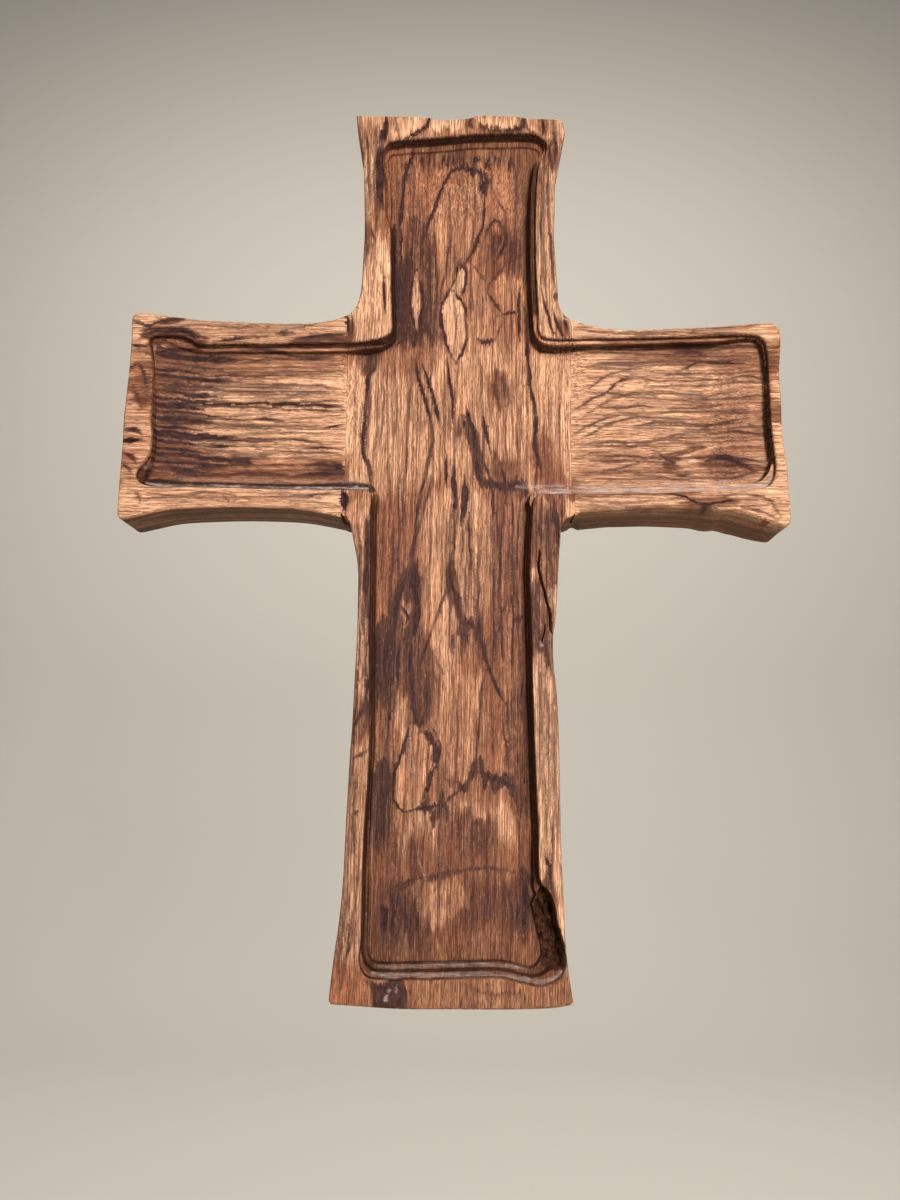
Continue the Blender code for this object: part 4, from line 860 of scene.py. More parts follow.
def wobble(line, amount, seed):
    """A drawn line with the small unsteadiness of growing wood."""
    t = np.gradient(line, axis=0)
    t /= np.maximum(1e-9, np.hypot(*t.T))[:, None]
    s = np.arange(len(line)) * 0.5
    k = amount * fbm(s * 0.22 + seed * 7.7, s * 0 + seed, 3, 31)
    return line + np.stack([-t[:, 1], t[:, 0]], 1) * k[:, None]


VEINS = []
for _i, (_lv, _hw, _dk, _pts) in enumerate(V):
    VEINS.append((_lv, _hw, _dk, wobble(spline(place(_lv, _pts), 0.5), 0.45, _i)))


# ================================================================ boards
def loop_of(faces):
    """The boundary of a triangulation, in order, as one closed list of vertices."""
    e = np.concatenate([faces[:, [0, 1]], faces[:, [1, 2]], faces[:, [2, 0]]])
    key = {(int(a), int(b)) for a, b in e}
    nxt = {a: b for a, b in key if (b, a) not in key}
    start = min(nxt)
    out, at = [start], nxt[start]
    while at != start:
        out.append(at)
        at = nxt[at]
    return out


def triangulate(points, edges, outline):
    """Constrained Delaunay triangles inside the outline, anticlockwise."""
    verts, _, faces, _, _, _ = geometry.delaunay_2d_cdt([Vector(p) for p in points], edges, [], 0, 1e-6)
    P = np.array([tuple(v) for v in verts], float)
    F = np.array([f for f in faces if len(f) == 3], np.int64)
    c = P[F].mean(1)
    F = F[signed(c, outline, 3.0) > 0]
    a, b, cc = P[F[:, 0]], P[F[:, 1]], P[F[:, 2]]
    flip = ((b - a)[:, 0] * (cc - a)[:, 1] - (b - a)[:, 1] * (cc - a)[:, 0]) < 0
    F[flip] = F[flip][:, ::-1]
    used = np.unique(F)
    remap = np.full(len(P), -1)
    remap[used] = np.arange(len(used))
    return P[used], remap[F]


class Cells:
    """Marks small cells as taken, so that points keep apart."""

    def __init__(self, lo, hi, size=0.2):
        self.lo, self.size = np.asarray(lo, float) - 2, size
        n = ((np.asarray(hi, float) + 2 - self.lo) / size).astype(int) + 3
        self.taken = np.zeros(n, bool)

    def index(self, p):
        i = ((p - self.lo) / self.size).astype(int)
        return np.clip(i[:, 0], 1, self.taken.shape[0] - 2), np.clip(i[:, 1], 1, self.taken.shape[1] - 2)

    def mark(self, p, reach=1):
        i, j = self.index(p)
        for a in range(-reach, reach + 1):
            for b in range(-reach, reach + 1):
                self.taken[np.clip(i + a, 0, self.taken.shape[0] - 1), np.clip(j + b, 0, self.taken.shape[1] - 1)] = True

    def free(self, p):
        i, j = self.index(p)
        return ~self.taken[i, j]


def in_box(line, lo, hi, closed=True):
    """The runs of a line that pass through a box."""
    ok = ((line > lo) & (line < hi)).all(1)
    if ok.all():
        return [(line, closed)]
    if not ok.any():
        return []
    if closed:
        k = int(np.nonzero(~ok)[0][0])
        line, ok = np.roll(line, -k, 0), np.roll(ok, -k)
    runs, at = [], None
    for i, o in enumerate(ok):
        if o and at is None:
            at = i
        if not o and at is not None:
            runs.append((line[at:i], False))
            at = None
    if at is not None:
        runs.append((line[at:], False))
    return [(r, c) for r, c in runs if len(r) > 1]


def tray_rows():
    rows = [inward(EDGE, o) for o in (-0.38, -0.14, 0.0, 0.1, 0.2, 0.3)]
    rows += [inward(PASS2, o) for o in (0.0, 0.15, 0.3)]
    rows += [inward(PASS3, o) for o in (0.0, 0.15, 0.3)]
    return rows


ROWS = tray_rows()


def groove_lines():
    out = []
    for pts, half, deep, lv in GOUGES:
        line = spline(place(lv, pts), 0.45)
        out.append((line, half, deep))
    for pts, half, deep in ((SPLIT, 0.5, 5.0), (SPLIT2, 0.32, 2.5)):
        out.append((wobble(spline(on_rim(pts), 0.4), 0.4, 77), half, deep))
    return out


GROOVES = groove_lines()


def groove_depth(P):
    out = np.zeros(len(P))
    for line, half, deep in GROOVES:
        d, _, s = near(P, line, half + 0.4)
        taper = np.clip(np.minimum(s, 1 - s) * 8, 0.05, 1) ** 0.6
        k = np.clip(1 - d / (half * (0.35 + 0.65 * taper)), 0, 1)
        out = np.maximum(out, deep * taper * (k if deep > 2 else k * k * (3 - 2 * k)))
    return out


BARK = spline([(26.6, -46), (27.4, -42.6), (29.4, -41), (31.2, -42.6), (32.3, -46), (33, -50), (34.2, -55.4),
               (35.2, -59.5), (35.6, -63.4), (33.6, -66.6), (30.4, -66.2), (27.6, -64.4), (26.6, -60), (26.4, -53)], 0.6, True)
if area(BARK) < 0:
    BARK = BARK[::-1].copy()


def ledge_depth(x, z):
    """Depth of the second pass, deeper under the upper walls."""
    d = np.full(len(x), D2)
    d = d - 1.3 * step01(203, 210, z)
    d = d - 2.9 * step01(-23, -33, x) * step01(120, 130, z)
    d = d + 1.6 * step01(30, 34, x) * step01(125, 135, z)
    return d


def tray_depth(P):
    """Depth behind the rim's plane of the routed tray, and how dark each point is painted: router scorch with painted
    shade on the walls that face away from the key light and at their feet, and the bark pocket near black.
    """
    inner = np.zeros((len(P), 2))
    s1, s2, s3 = signed(P, EDGE, 8.0, inner), signed(P, PASS2), signed(P, PASS3)
    x, z = P[:, 0], P[:, 1]
    lip = np.interp(s1, [-0.38, -0.14, 0.0, 0.3], [0, 0.05, 0.26, D1])
    floor = D3 + 0.16 * fbm(x / 22, z / 40, 2, 3) + 0.05 * fbm(x / 3.1, z / 17, 2, 4)
    floor = floor - 3.0 * step01(-86, -104, x) + 0.25 * np.exp(-((x - 2) / 22) ** 2 - ((z + 20) / 60) ** 2)
    floor = floor - 3.7 * step01(-27, -42, x) * step01(108, 134, z) - 3.0 * step01(186, 212, z)
    floor = floor - 2.2 * step01(34, 46, x) * step01(112, 136, z)
    floor = floor - 3.1 * step01(86, 102, x) * step01(138, 124, z) - 1.0 * step01(86, 102, x) * step01(124, 138, z)
    ledge = ledge_depth(x, z) + 0.10 * fbm(x / 4, z / 4, 2, 6)
    ledge = np.minimum(ledge, floor - 0.3)
    depth = lip + np.interp(s2, [0, 0.3], [0, 1]) * (ledge - D1) + np.interp(s3, [0, 0.3], [0, 1]) * (floor - ledge)
    # the bark pocket in the rim
    sb = signed(P, BARK, 6.0) + 1.5 * fbm(x / 1.9, z / 2.6, 3, 8)
    hollow = step01(-0.15, 0.9, sb) * (s3 < 0.05) * (s1 > -0.3)
    crag = 9.6 + 3.4 * fbm(x / 1.5, z / 2.6, 3, 12) + 1.6 * fbm(x / 0.7, z / 1.1, 2, 13)
    depth = depth + (np.maximum(crag, depth) - depth) * hollow
    w1 = ((s1 > 0.05) & (s1 < 0.28)).astype(float)
    w2 = ((s2 > 0.04) & (s2 < 0.35)).astype(float)
    w3 = ((s3 > 0.04) & (s3 < 0.35)).astype(float)
    # dark_side: the wall's inside faces left or down, away from the key light; it weights the painted shade
    dark_side = np.clip(np.maximum(-inner[:, 0], -inner[:, 1] * 1.05), 0, 1)
    side = 0.55 + 0.45 * dark_side
    side = side * (1 - 0.72 * step01(2.2, 5.2, depth) * step01(204, 212, z))
    end = step01(-88, -96, x) * step01(138, 134, z)
    side = side * (1 - 0.75 * end)
    rag = 1 + 0.7 * fbm(x / 3.5, z / 3.5, 3, 15)
    head = 1 - 0.75 * step01(203, 210, z)
    w12 = (s1 > 0.02) & (s2 < 0.35) & (s1 - s2 < 0.8) & (s2 > -0.8)
    w23 = (s2 > 0.02) & (s3 < 0.35) & (s2 - s3 < 0.8) & (s3 > -0.8)
    side = np.maximum(side, 0.9 * step01(-20, -24, x) * step01(86, 82, z))
    # walls painted dark: router scorch, and painted shade heavier on the side away from the key light
    burn_and_shade = np.maximum(np.maximum(w1, w2) * side, w3 * (0.45 + 0.35 * dark_side) * head)
    burn_and_shade = np.maximum(burn_and_shade, np.maximum(w12, w23) * side)
    # just outside the tray's edge: scorch and painted shade, stronger on the shaded side
    lip_burn_and_shade = np.exp(np.minimum(0, s1) / (0.16 + 0.22 * dark_side) * rag) * (s1 < 0.0) * (0.3 + 0.4 * dark_side)
    # painted shade on the floor at the foot of the walls
    seam = (s3 > 0.3) * np.exp(-np.maximum(0, s3 - 0.3) / (0.28 + 0.42 * dark_side)) * (0.35 + 0.45 * dark_side) * np.clip(rag, 0.4, 1.4) * head
    burn_and_shade = np.maximum(burn_and_shade, np.maximum(lip_burn_and_shade, seam))
    on_ledge = (s1 > 0.3) & (s3 < 0)
    left = step01(-18, -24, x) * step01(86, 80, z) * step01(-62, -56, z)
    ridge = step01(30, 36, x) * step01(130, 136, z) * (s2 < 0)
    burn_and_shade = np.where(ridge * (s1 > 0.3) > 0.5, 0.05, burn_and_shade)
    burn_and_shade = np.maximum(burn_and_shade, (0.22 + 0.5 * left + 0.34 * step01(-62, -66, z)) * (1 - ridge) * (1 - 0.8 * step01(-30, -38, x) * step01(120, 130, z)) * (1 - 0.7 * step01(203, 210, z)) * on_ledge * np.clip(rag, 0.3, 1.4))
    burn_and_shade = burn_and_shade * (1 - 0.6 * end * (x < -100))
    burn_and_shade = np.maximum(burn_and_shade, 0.68 * on_ledge * (x < -29) * (z < 94) * np.clip(rag, 0.3, 1.4))
    # painted shade on the upright's right walls, which face away from the key light
    right_wall_shade = 0.92 * step01(19, 21, x) * np.maximum(step01(148, 152, z) * step01(212, 208, z), step01(84, 80, z) * step01(-42, -38, z))
    burn_and_shade = np.maximum(burn_and_shade, right_wall_shade * (s1 > 0.02) * (s3 < 0.4) * (1 - 0.3 * (s2 < -0.1) * step01(150, 190, z)) * np.clip(rag + 0.25, 0.5, 1.1))
    burn_and_shade = np.maximum(burn_and_shade, 0.95 * (x < -29) * (z < 94) * ((s1 > 0.02) & (s3 < 0.35)) * np.clip(0.75 + 0.5 * fbm(x / 9, z / 0.7, 2, 17), 0, 1))
    # the bark pocket painted near black
    burn_and_shade = np.maximum(burn_and_shade, np.clip(hollow * 1.6, 0, 1) * (0.86 + 0.2 * fbm(x / 1.3, z / 2, 2, 16)))
    return depth, s1, s2, s3, np.clip(burn_and_shade, 0, 1), hollow


def flow(P, horizontal):
    """Shift of the grain coordinate that makes the grain run along the drawn veins.

    The coordinate across the grain is relaxed on a coarse grid: smooth everywhere, and held
    constant along every vein that runs more or less with the grain.
    """
    a, b = (1, 0) if horizontal else (0, 1)
    h = 1.5
    lo, hi = P.min(0) - 6, P.max(0) + 6
    n = np.ceil((hi - lo) / h).astype(int) + 1
    tx, tz, w = np.zeros(n), np.zeros(n), np.zeros(n)
    for lv, half, dark, line in VEINS:
        t = np.gradient(line, axis=0)
        t /= np.maximum(1e-9, np.hypot(*t.T))[:, None]
        ok = ((line > lo + h) & (line < hi - h)).all(1) & (np.abs(t[:, b]) > 0.72)
        if not ok.any():
            continue
        i = np.round((line[ok] - lo) / h).astype(int)
        k = np.where(t[ok][:, b:b + 1] < 0, -1.0, 1.0)
        np.add.at(tx, (i[:, 0], i[:, 1]), (t[ok] * k)[:, 0])
        np.add.at(tz, (i[:, 0], i[:, 1]), (t[ok] * k)[:, 1])
        np.add.at(w, (i[:, 0], i[:, 1]), 1.0)
    norm = np.maximum(1e-9, np.hypot(tx, tz))
    tx, tz = tx / norm, tz / norm
    lam = 5.0 * (w > 0)
    mass = (h / 13.0) ** 2

    def grad(u):
        gx, gz = np.zeros(n), np.zeros(n)
        gx[:-1] = u[1:] - u[:-1]
        gz[:, :-1] = u[:, 1:] - u[:, :-1]
        return gx, gz

    def back(gx, gz):
        out = np.zeros(n)
        out[:-1] -= gx[:-1]
        out[1:] += gx[:-1]
        out[:, :-1] -= gz[:, :-1]
        out[:, 1:] += gz[:, :-1]
        return out

    def act(u):
        gx, gz = grad(u)
        q = lam * (tx * gx + tz * gz)
        return back(gx + q * tx, gz + q * tz) + mass * u

    ax = (tz if horizontal else tx) * h
    r = -back(lam * ax * tx, lam * ax * tz)
    u, p, rr = np.zeros(n), r.copy(), float((r * r).sum())
    for _ in range(220):
        q = act(p)
        al = rr / max(1e-30, float((p * q).sum()))
        u += al * p
        r -= al * q
        new = float((r * r).sum())
        if new < 1e-10:
            break
        p = r + (new / rr) * p
        rr = new
    f = (P - lo) / h
    i = np.clip(f.astype(int), 0, n - 2)
    f = f - i
    f = f * f * (3 - 2 * f)
    return (u[i[:, 0], i[:, 1]] * (1 - f[:, 0]) * (1 - f[:, 1]) + u[i[:, 0] + 1, i[:, 1]] * f[:, 0] * (1 - f[:, 1])
            + u[i[:, 0], i[:, 1] + 1] * (1 - f[:, 0]) * f[:, 1] + u[i[:, 0] + 1, i[:, 1] + 1] * f[:, 0] * f[:, 1])


def figure(P, depth, horizontal):
    """Vein margin (mm inside a vein), its darkness, how much it crosses the grain, and the six stains; the sixth, dust,
    also carries the painted highlight strokes.
    """
    a, b = (1, 0) if horizontal else (0, 1)
    margin, dark, slope = np.full(len(P), -3.0), np.zeros(len(P)), np.zeros(len(P))
    low = depth > 1.0
    away = np.zeros((len(P), 2))
    for i, (lv, half, dk, line) in enumerate(VEINS):
        d, _, s = near(P, line, half + 3.0, False, away)
        ok = d < half + 2.9
        if lv == "f":
            ok &= low
        else:
            ok &= ~low
        if not ok.any():
            continue
        length = len(line) * 0.5
        taper = np.clip(np.minimum(s, 1 - s) * max(2.5, length / 6), 0.12, 1) ** 0.6
        rag = np.clip(1.08 + 0.6 * fbm(s * length / 4.0 + i * 3.3, s * 0 + i, 3, 40), 0.45, 1.9)
        fade = np.clip(0.96 + 0.7 * fbm(s * length / 9.0 + i * 5.1, s * 0 + i + 9, 2, 41), 0.5, 1)
        m = half * taper * rag - d
        up = ok & (m > margin)
        margin[up], dark[up], slope[up] = m[up], dk * (0.55 + 0.45 * taper[up]) * fade[up], away[up, b]
    T = np.zeros((len(P), 6))
    jitter = 3.4 * fbm(P[:, a] / 1.5, P[:, b] / 30, 2, 50) + 0.9 * fbm(P[:, 0] / 4.0, P[:, 1] / 4.0, 2, 52)
    Q = P.copy()
    Q[:, b] += 1.9 * jitter
    jx = 0.8 * fbm(P[:, 0] / 3.0, P[:, 1] / 5.0, 3, 51)
    for lv, target, amount, soft, pts in P_:
        ok = low if lv == "f" else ~low
        poly = spline(place(lv, pts), 1.0, True)
        if area(poly) < 0:
            poly = poly[::-1].copy()
        lo, hi = poly.min(0) - soft - 4, poly.max(0) + soft + 4
        sel = np.nonzero(ok & ((P > lo) & (P < hi)).all(1))[0]
        if not len(sel):
            continue
        use = Q if soft > 0.75 else P
        sd = signed(use[sel], poly, soft + 2) + jx[sel] * min(1.2, soft * 0.6)
        k = amount * step01(-soft, soft * 0.6, sd)
        T[sel] = T[sel] * (1 - k[:, None]) + np.asarray(target)[None] * k[:, None]
    for dep, half, amount, pts in DUST_AND_HIGHLIGHT_LINES:
        line = wobble(spline(at_depth(pts, dep), 0.5), 0.35, 5)
        d, _, s = near(P, line, half + 1.5)
        ok = (np.abs(depth - dep) < 1.6) & (d < half + 1.4)
        v = amount * np.clip((half * (1 + 0.8 * fbm(s * len(line) / 5, s * 0, 3, 61)) - d) / 0.35 + 0.6, 0, 1)
        T[:, 5] = np.where(ok, np.maximum(T[:, 5], v), T[:, 5])
    return margin, dark, slope, T


def saw(x, z, y, seed):
    """Waviness left on the sides by the bandsaw, in mm."""
    s = x * 0.8 + z * 0.6
    return 0.05 * np.sin(s * 2.1 + 0.7 * np.sin(s * 0.37)) + 0.10 * fbm(s / 5, y / 9, 2, seed)


def board(name, outline, arris, horizontal, lap, spacing, seed):
    """One board as a closed mesh: front with its tray, sides, and back."""
    lo, hi = outline.min(0), outline.max(0)
    pts, edges = [], []
    cells = Cells(lo, hi)

    def add_line(line, closed):
        base = sum(len(q) for q in pts)
        pts.append(line)
        n = len(line)
        edges.extend((base + i, base + (i + 1) % n) for i in range(n if closed else n - 1))
        cells.mark(resample(line, 0.15, closed), 1)

    add_line(outline, True)
    cells.mark(inward(outline, -0.3, False), 1)
    for y in lap["lines"]:
        if lap["vertical"]:
            add_line(np.array([(y, z) for z in np.arange(lo[1] + 0.6, hi[1] - 0.6, 0.9)]), False)
    if not lap["vertical"]:
        hidden = lambda p: np.zeros(len(p), bool)
    else:
        hidden = lambda p: (p[:, 0] > lap["lines"][0]) & (p[:, 0] < lap["lines"][-1])
    for row in ROWS:
        for run, closed in in_box(row, lo - 1, hi + 1):
            keep = (signed(run, outline, 3.0) > 0.25) & ~hidden(run)
            if keep.all():
                add_line(run, closed)
                continue
            if closed:
                k = int(np.nonzero(~keep)[0][0])
                run, keep = np.roll(run, -k, 0), np.roll(keep, -k)
            at = None
            for i in range(len(run) + 1):
                o = i < len(run) and keep[i]
                if o and at is None:
                    at = i
                if not o and at is not None:
                    if i - at > 1:
                        add_line(run[at:i], False)
                    at = None
    for off in (0.12, 0.3, 0.55, 0.85, 1.25, 1.8):
        ring = inward(outline, off)
        ring = ring[cells.free(ring)]
        pts.append(ring)
        cells.mark(ring, 1)
    for line, half, deep in GROOVES:
        t = np.gradient(line, axis=0)
        t /= np.maximum(1e-9, np.hypot(*t.T))[:, None]
        n = np.stack([-t[:, 1], t[:, 0]], 1)
        for o in (0, -half * 0.5, half * 0.5, -half, half):
            q = line + n * o
            q = q[(q > lo).all(1) & (q < hi).all(1)]
            if len(q):
                q = q[(signed(q, outline, 3.0) > 0.3) & ~hidden(q) & (cells.free(q) | (np.abs(o) < half))]
                pts.append(q)
                cells.mark(q, 0)
    for lv, half, dark, line in VEINS:
        q = line[(line > lo).all(1) & (line < hi).all(1)]
        if not len(q):
            continue
        q = q[(signed(q, outline, 3.0) > 0.4) & ~hidden(q)]
        q = q[cells.free(q)] if len(q) else q
        pts.append(q)
        cells.mark(q, 1)
    rng = np.random.default_rng(seed)
    gx, gz = np.meshgrid(np.arange(lo[0], hi[0], spacing), np.arange(lo[1], hi[1], spacing * 0.866))
    gx = gx + (np.arange(gx.shape[0]) % 2)[:, None] * spacing / 2
    g = np.stack([gx.ravel(), gz.ravel()], 1)
    g = g + rng.uniform(-0.12, 0.12, g.shape) * spacing
    g = g[signed(g, outline, 3.0) > 0.3]
    g = g[~hidden(g)]
    g = g[cells.free(g)]
    pts.append(g)
    if lap["vertical"]:
        hx, hz = np.meshgrid(np.arange(lap["lines"][-2] * 0 + lap["lines"][1] + 3, lap["lines"][-2] - 1, 4.0), np.arange(lo[1] + 3, hi[1] - 1, 4.0))
        hq = np.stack([hx.ravel(), hz.ravel()], 1)
        pts.append(hq[signed(hq, outline, 3.0) > 1.0])
    P, F = triangulate(np.vstack(pts), edges, outline)

    # ---- front
    depth, s1, s2, s3, wall, hollow = tray_depth(P)
    depth = depth + groove_depth(P)
    x, z = P[:, 0], P[:, 1]
    so = signed(P, outline, 4.0)
    r = arris(P)
    q = np.clip(1 - so / r, 0, 1)
    depth = np.maximum(depth, r * (1 - np.sqrt(np.clip(1 - q * q, 0, 1))))
    depth = depth + 0.09 * fbm(x / 14, z / 14, 2, 14) * step01(0, 2, so) * (s1 < 0)
    depth = depth - np.where(s1 < -0.4, 0, 0)
    if lap["vertical"]:
        la, lb, ra, rb = lap["lines"]
        t = np.clip((x - la) / (lb - la), 0, 1) * np.clip((rb - x) / (rb - ra), 0, 1)
        depth = depth * (1 - t) + (-LAP_Y + 0.15 - 0.0) * 0 * t + t * (FRONT * -1 + LAP_Y + 0.15)
    across, h = (z, x) if horizontal else (x, z)
    u = flow(P, horizontal)
    g = across + u
    fib = across + 0.45 * u + 0.22 * fbm(across / 7, h / 34, 2, 33)
    margin, dark, slope, T = figure(P, depth, horizontal)
    wall_scorch_and_shade = wall

    # ---- boundary, sides and back
    loop = loop_of(F)
    B = P[loop]
    nb = len(loop)
    tb = np.roll(B, -1, 0) - np.roll(B, 1, 0)
    tb /= np.maximum(1e-9, np.hypot(*tb.T))[:, None]
    out_n = np.stack([tb[:, 1], -tb[:, 0]], 1)       # anticlockwise: the outside is on the right
    yf = FRONT + depth[loop]
    yb = lap["back"](B)
    rows = 17 if horizontal else 12
    share = np.linspace(0, 1, rows)
    co = [np.stack([x, FRONT + depth, z], 1)]
    attr_g, attr_h, attr_m, attr_d, attr_T, attr_w, attr_s = [g], [h], [margin], [dark], [T], [wall_scorch_and_shade], [np.zeros(len(P))]
    attr_f, attr_k = [fib], [slope]
    faces = [F]
    ids = [np.array(loop)]
    count = len(P)
    flat_seam = lap["seam"](B)
    for k in range(1, rows):
        f = share[k]
        y = yf + (yb - yf) * f
        move = saw(B[:, 0], B[:, 1], y, seed) * math.sin(math.pi * f) * (1 - flat_seam)
        if k == rows - 1:
            move = np.full(nb, -0.35) * (1 - flat_seam)
        move = move + lap["lean"](B) * min(1.0, f * 1.15)
        p = B + out_n * move[:, None]
        co.append(np.stack([p[:, 0], y, p[:, 1]], 1))
        attr_g.append(g[loop]); attr_h.append(h[loop]); attr_f.append(fib[loop]); attr_k.append(slope[loop] * 0)
        attr_m.append(margin[loop] - f * 2.5); attr_d.append(dark[loop] * (1 - 0.5 * f))
        attr_T.append(T[loop] * max(0.0, 1 - 2.4 * f)); attr_w.append(np.zeros(nb)); attr_s.append(np.where(p[:, 0] < -30, 1.3, 1.0))
        now = np.arange(count, count + nb)
        count += nb
        a, b = ids[-1], now
        a2, b2 = np.roll(a, -1), np.roll(b, -1)
        faces.append(np.stack([a, b, b2], 1))
        faces.append(np.stack([a, b2, a2], 1))
        ids.append(now)
    rim = co[-1][:, [0, 2]]
    back_pts = [rim]
    back_edges = [(i, (i + 1) % nb) for i in range(nb)]
    for line, closed in lap["back_lines"]:
        base = sum(len(q) for q in back_pts)
        back_pts.append(line)
        n = len(line)
        back_edges += [(base + i, base + (i + 1) % n) for i in range(n if closed else n - 1)]
    bx, bz = np.meshgrid(np.arange(lo[0], hi[0], 2.2), np.arange(lo[1], hi[1], 1.9))
    bx = bx + (np.arange(bx.shape[0]) % 2)[:, None] * 1.1
    bg = np.stack([bx.ravel(), bz.ravel()], 1)
    bg = bg[signed(bg, rim, 3.0) > 0.9]
    clear = np.ones(len(bg), bool)
    for line, closed in lap["back_lines"]:
        clear &= near(bg, line, 2.0, closed)[0] > 0.7
    back_pts.append(bg[clear])
    BP, BF = triangulate(np.vstack(back_pts), back_edges, rim)
    # the back's own rim points are joined to the last row of the sides
    order = loop_of(BF)
    key = {(round(float(p[0]), 5), round(float(p[1]), 5)): int(i) for p, i in zip(rim, ids[-1])}
    target = np.full(len(BP), -1)
    lost = 0
    for i in order:
        hit = key.get((round(float(BP[i][0]), 5), round(float(BP[i][1]), 5)))
        if hit is None:
            j = int(np.hypot(*(rim - BP[i]).T).argmin())
            hit = int(ids[-1][j])
            lost += 1
        target[i] = hit
    free = np.nonzero(target < 0)[0]
    target[free] = np.arange(count, count + len(free))
    by = lap["back"](BP)
    on_back = np.stack([BP[free][:, 0], by[free] + 0.03 * fbm(BP[free][:, 0] / 3, BP[free][:, 1] / 9, 2, 70) * (by[free] > -0.01), BP[free][:, 1]], 1)
    co.append(on_back)
    m = len(free)
    ga, ha = (1, 0) if horizontal else (0, 1)
    attr_g.append(BP[free][:, ga]); attr_h.append(BP[free][:, ha])
    attr_f.append(BP[free][:, ga]); attr_k.append(np.zeros(m))
    attr_m.append(np.full(m, -3.0)); attr_d.append(np.zeros(m)); attr_T.append(np.zeros((m, 6)))
    attr_w.append(np.zeros(m)); attr_s.append(np.full(m, 1.0))
    faces.append(target[BF][:, ::-1])
    count += m

    C = np.vstack(co)
    FF = np.vstack(faces)
    FF = FF[(FF[:, 0] != FF[:, 1]) & (FF[:, 1] != FF[:, 2]) & (FF[:, 0] != FF[:, 2])]
    C[:, 2] += EYE_Z
    mesh = bpy.data.meshes.new(name)
    mesh.vertices.add(len(C))
    mesh.vertices.foreach_set("co", (C * MM).astype(np.float32).ravel())
    mesh.loops.add(len(FF) * 3)
    mesh.loops.foreach_set("vertex_index", FF.astype(np.int32).ravel())
    mesh.polygons.add(len(FF))
    mesh.polygons.foreach_set("loop_start", np.arange(0, len(FF) * 3, 3, dtype=np.int32))
    mesh.polygons.foreach_set("loop_total", np.full(len(FF), 3, np.int32))
    mesh.update(calc_edges=True)
    mesh.validate()

    def vec(label, a, b, c):
        at = mesh.attributes.new(label, "FLOAT_VECTOR", "POINT")
        at.data.foreach_set("vector", np.stack([a, b, c], 1).astype(np.float32).ravel())

    TT = np.vstack(attr_T)
    # the vein attribute's third value is the walls' scorch and painted shade; the mark attribute's third value is dust
    # and painted highlight strokes
    vec("flow", np.concatenate(attr_g), np.concatenate(attr_h), C[:, 1])
    vec("vein", np.concatenate(attr_m), np.concatenate(attr_d), np.concatenate(attr_w))
    vec("stain", TT[:, 0], TT[:, 1], TT[:, 2])
    vec("mark", TT[:, 3], TT[:, 4], TT[:, 5])
    vec("fibre", np.concatenate(attr_f), np.concatenate(attr_k), np.concatenate(attr_s))
    mesh.shade_smooth()
    mesh.set_sharp_from_angle(angle=math.radians(38))
    obj = bpy.data.objects.new(name, mesh)
    bpy.context.scene.collection.objects.link(obj)
    print(name, len(C), "vertices", len(FF), "faces, lost", lost)
    return obj


# ---------------------------------------------------------------- the upright
def with_heights(line, heights):
    """A side of the outline with exact points at some heights."""
    out = [tuple(line[0])]
    for a, b in zip(line, line[1:]):
        for hh in sorted([v for v in heights if min(a[1], b[1]) < v < max(a[1], b[1])], reverse=bool(b[1] < a[1])):
            t = (hh - a[1]) / (b[1] - a[1])
            out.append((a[0] + (b[0] - a[0]) * t, hh))
        out.append(tuple(b))
    return np.array(out)


STEP = 0.04
lap_heights = (LAP_LOW - 0.3 - STEP, LAP_LOW - 0.3, LAP_HIGH + 0.3, LAP_HIGH + 0.3 + STEP)
right_low = spline(LOW_RIGHT, 0.5)
right_up = spline(UP_RIGHT, 0.5)
left_up = spline(UP_LEFT, 0.5)
left_low = spline(LOW_LEFT, 0.5)
ear_r = np.array([(SEAM_R, zz) for zz in np.arange(79.0, 148.0, 0.5)])
ear_l = np.array([(SEAM_L, zz) for zz in np.arange(148.8, 77.9, -0.5)])
upright_outline = np.vstack([right_low, ear_r, right_up, spline(HEAD, 0.5), left_up, ear_l, left_low, spline(FOOT, 0.5)])
upright_outline = with_heights(np.vstack([upright_outline, upright_outline[:1]]), lap_heights)[:-1]
if area(upright_outline) < 0:
    upright_outline = upright_outline[::-1].copy()


def upright_arris(P):
    r = np.full(len(P), 1.15)
    ear = (P[:, 1] > 77.5) & (P[:, 1] < 149.5)
    r = np.where(ear, 0.05, r)
    near_ear = np.minimum(np.abs(P[:, 1] - 77.0), np.abs(P[:, 1] - 150.0))
    return np.where(ear, r, 0.05 + (r - 0.05) * step01(0.3, 4.0, near_ear)) + 0.25 * np.abs(fbm(P[:, 1] / 6, P[:, 0] / 30, 2, 21)) * ~ear


def upright_back(P):
    y = np.zeros(len(P))
    z, x = P[:, 1], P[:, 0]
    t = np.minimum(np.clip((z - lap_heights[0]) / STEP, 0, 1), np.clip((lap_heights[3] - z) / STEP, 0, 1))
    y = t * (LAP_Y - 0.15)
    px, pz = np.abs(x), z + EYE_Z
    half, top, low, rad = 25.0, 102.0, 80.0, 4.0
    qx, qz = px - (half - rad), np.abs(pz - (top + low) / 2) - ((top - low) / 2 - rad)
    d = np.hypot(np.maximum(qx, 0), np.maximum(qz, 0)) + np.minimum(np.maximum(qx, qz), 0) - rad
    y = y - POCKET_DEPTH * np.clip(-d / 0.05, 0, 1)
    for nx in (-18.6, 18.6):
        dn = np.hypot(x - nx, pz - 94.4)
        y = y - 7.3 * np.clip((0.9 - dn) / 0.04, 0, 1)
    return y


